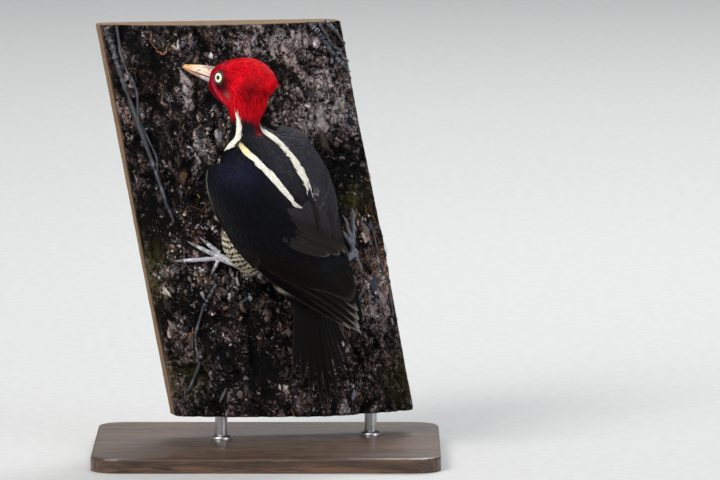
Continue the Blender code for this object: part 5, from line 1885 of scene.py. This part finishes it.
# Creeping roots: x and z along each, seen from the front in millimetres, and its thickness.
ROOTS = (
    (((-130, 349), (-121, 318), (-111, 287), (-101, 262), (-93, 239), (-84, 213), (-75, 190)), 2.4),
    (((-122, 349), (-117, 322), (-105, 292), (-103, 268), (-90, 243), (-88, 222)), 1.5),
    (((33, 349), (46, 332), (56, 318), (66, 306), (78, 286)), 2.6),
    (((41, 349), (50, 333), (62, 318), (73, 300)), 1.8),
    (((47, 349), (57, 336), (66, 322), (80, 300)), 2.2),
    (((84, 186), (88, 166), (93, 148), (99, 128), (101, 108)), 1.2),
    (((-40, 140), (-52, 118), (-58, 96), (-55, 70), (-64, 52)), 1.6),
)
roots, root_dyes = [], []
for number, (line, radius) in enumerate(ROOTS):
    track, _ = run_of(line, 60)
    wander = [list(noise.noise_vector(Vector((number * 5, k * 0.21, 0))))[:2] for k in range(60)]
    track = track + np.array(wander) * 1.6
    hits = [on_slab(x * MM, z * MM) for x, z in track]
    places = np.array([hit[0] if hit else (np.nan,) * 3 for hit in hits])
    normals = np.array([hit[1] if hit else (np.nan,) * 3 for hit in hits])
    held = ~np.isnan(places[:, 0])
    places = np.stack([np.interp(np.linspace(0, held.sum() - 1, 60), np.arange(held.sum()), places[held, k])
                       for k in range(3)], 1)
    places[1:-1] = sum(places[1 + k:59 + k] for k in (-1, 0, 1)) / 3
    outward = np.tile(normals[held].mean(0), (60, 1))
    outward = unit(outward)
    lumps = np.array([noise.fractal(Vector((number * 9, k * 0.55, 0)), 0.6, 2.0, 3) for k in range(60)])
    thick = radius * np.exp(0.5 * lumps) * (1 - 0.35 * np.linspace(0, 1, 60)) * MM
    roots.append(cords((places + outward * 0.35 * thick[:, None])[None], outward[None], thick[None], 12)[0])
    fleck = np.array([noise.noise(Vector((number * 3, k * 0.9, 4))) for k in range(60)])
    root_dyes.append(np.array((0.017, 0.018, 0.027)) * np.exp(0.8 * lumps + 2.6 * fleck)[:, None])
slate_root = litter_finish("slate_root", 0.28, 0.9)
spots, patch = side_by_side(len(ROOTS))
weave("creeping_roots", np.array(roots), np.array(root_dyes), spots, slate_root, slot="bark",
      section=tuple((2 * k / 11 - 1, 0) for k in range(12)), patch=patch)

# Moss: thin pointed leaves that stand off the bark and droop, green or dried to gold.
places, normals, zones, room = strewn(5200, 85, lambda z: 0.012 + 0.85 * z[3])
rng = np.random.default_rng(86)
clear = room > 9
places, normals, zones = places[clear], normals[clear], zones[clear]
count = len(places)
t = np.linspace(0, 1, 4)[None, :, None]
way = normals * 0.6 + rng.normal(0, 0.55, (count, 3)) + (0, 0, -0.15)
way = unit(way)
long = rng.uniform(2.5, 6.0, (count, 1, 1)) * MM
middle = places[:, None] + way[:, None] * long * t + np.array((0, 0, -0.45)) * long * t**2
across = np.cross(way, rng.normal(size=(count, 3)))
across = unit(across)
half = rng.uniform(0.22, 0.42, (count, 1, 1)) * np.array((0.7, 1.0, 0.7, 0.1))[None, :, None] * MM
rings = np.stack([middle + across[:, None] * half * x + np.cross(way, across)[:, None] * 0.12 * MM * z
                  for x, z in THIN], 2)
tint = np.where(rng.random((count, 1)) < 0.45, (0.34, 0.21, 0.065), (0.15, 0.16, 0.028))
tint = tint * np.exp(rng.normal(-0.1, 0.45, (count, 1)))
tint = tint[:, None] * np.linspace(0.35, 1.1, 4)[None, :, None]
weave("moss", rings, tint, bark_spots(places), brittle, slot="bark")
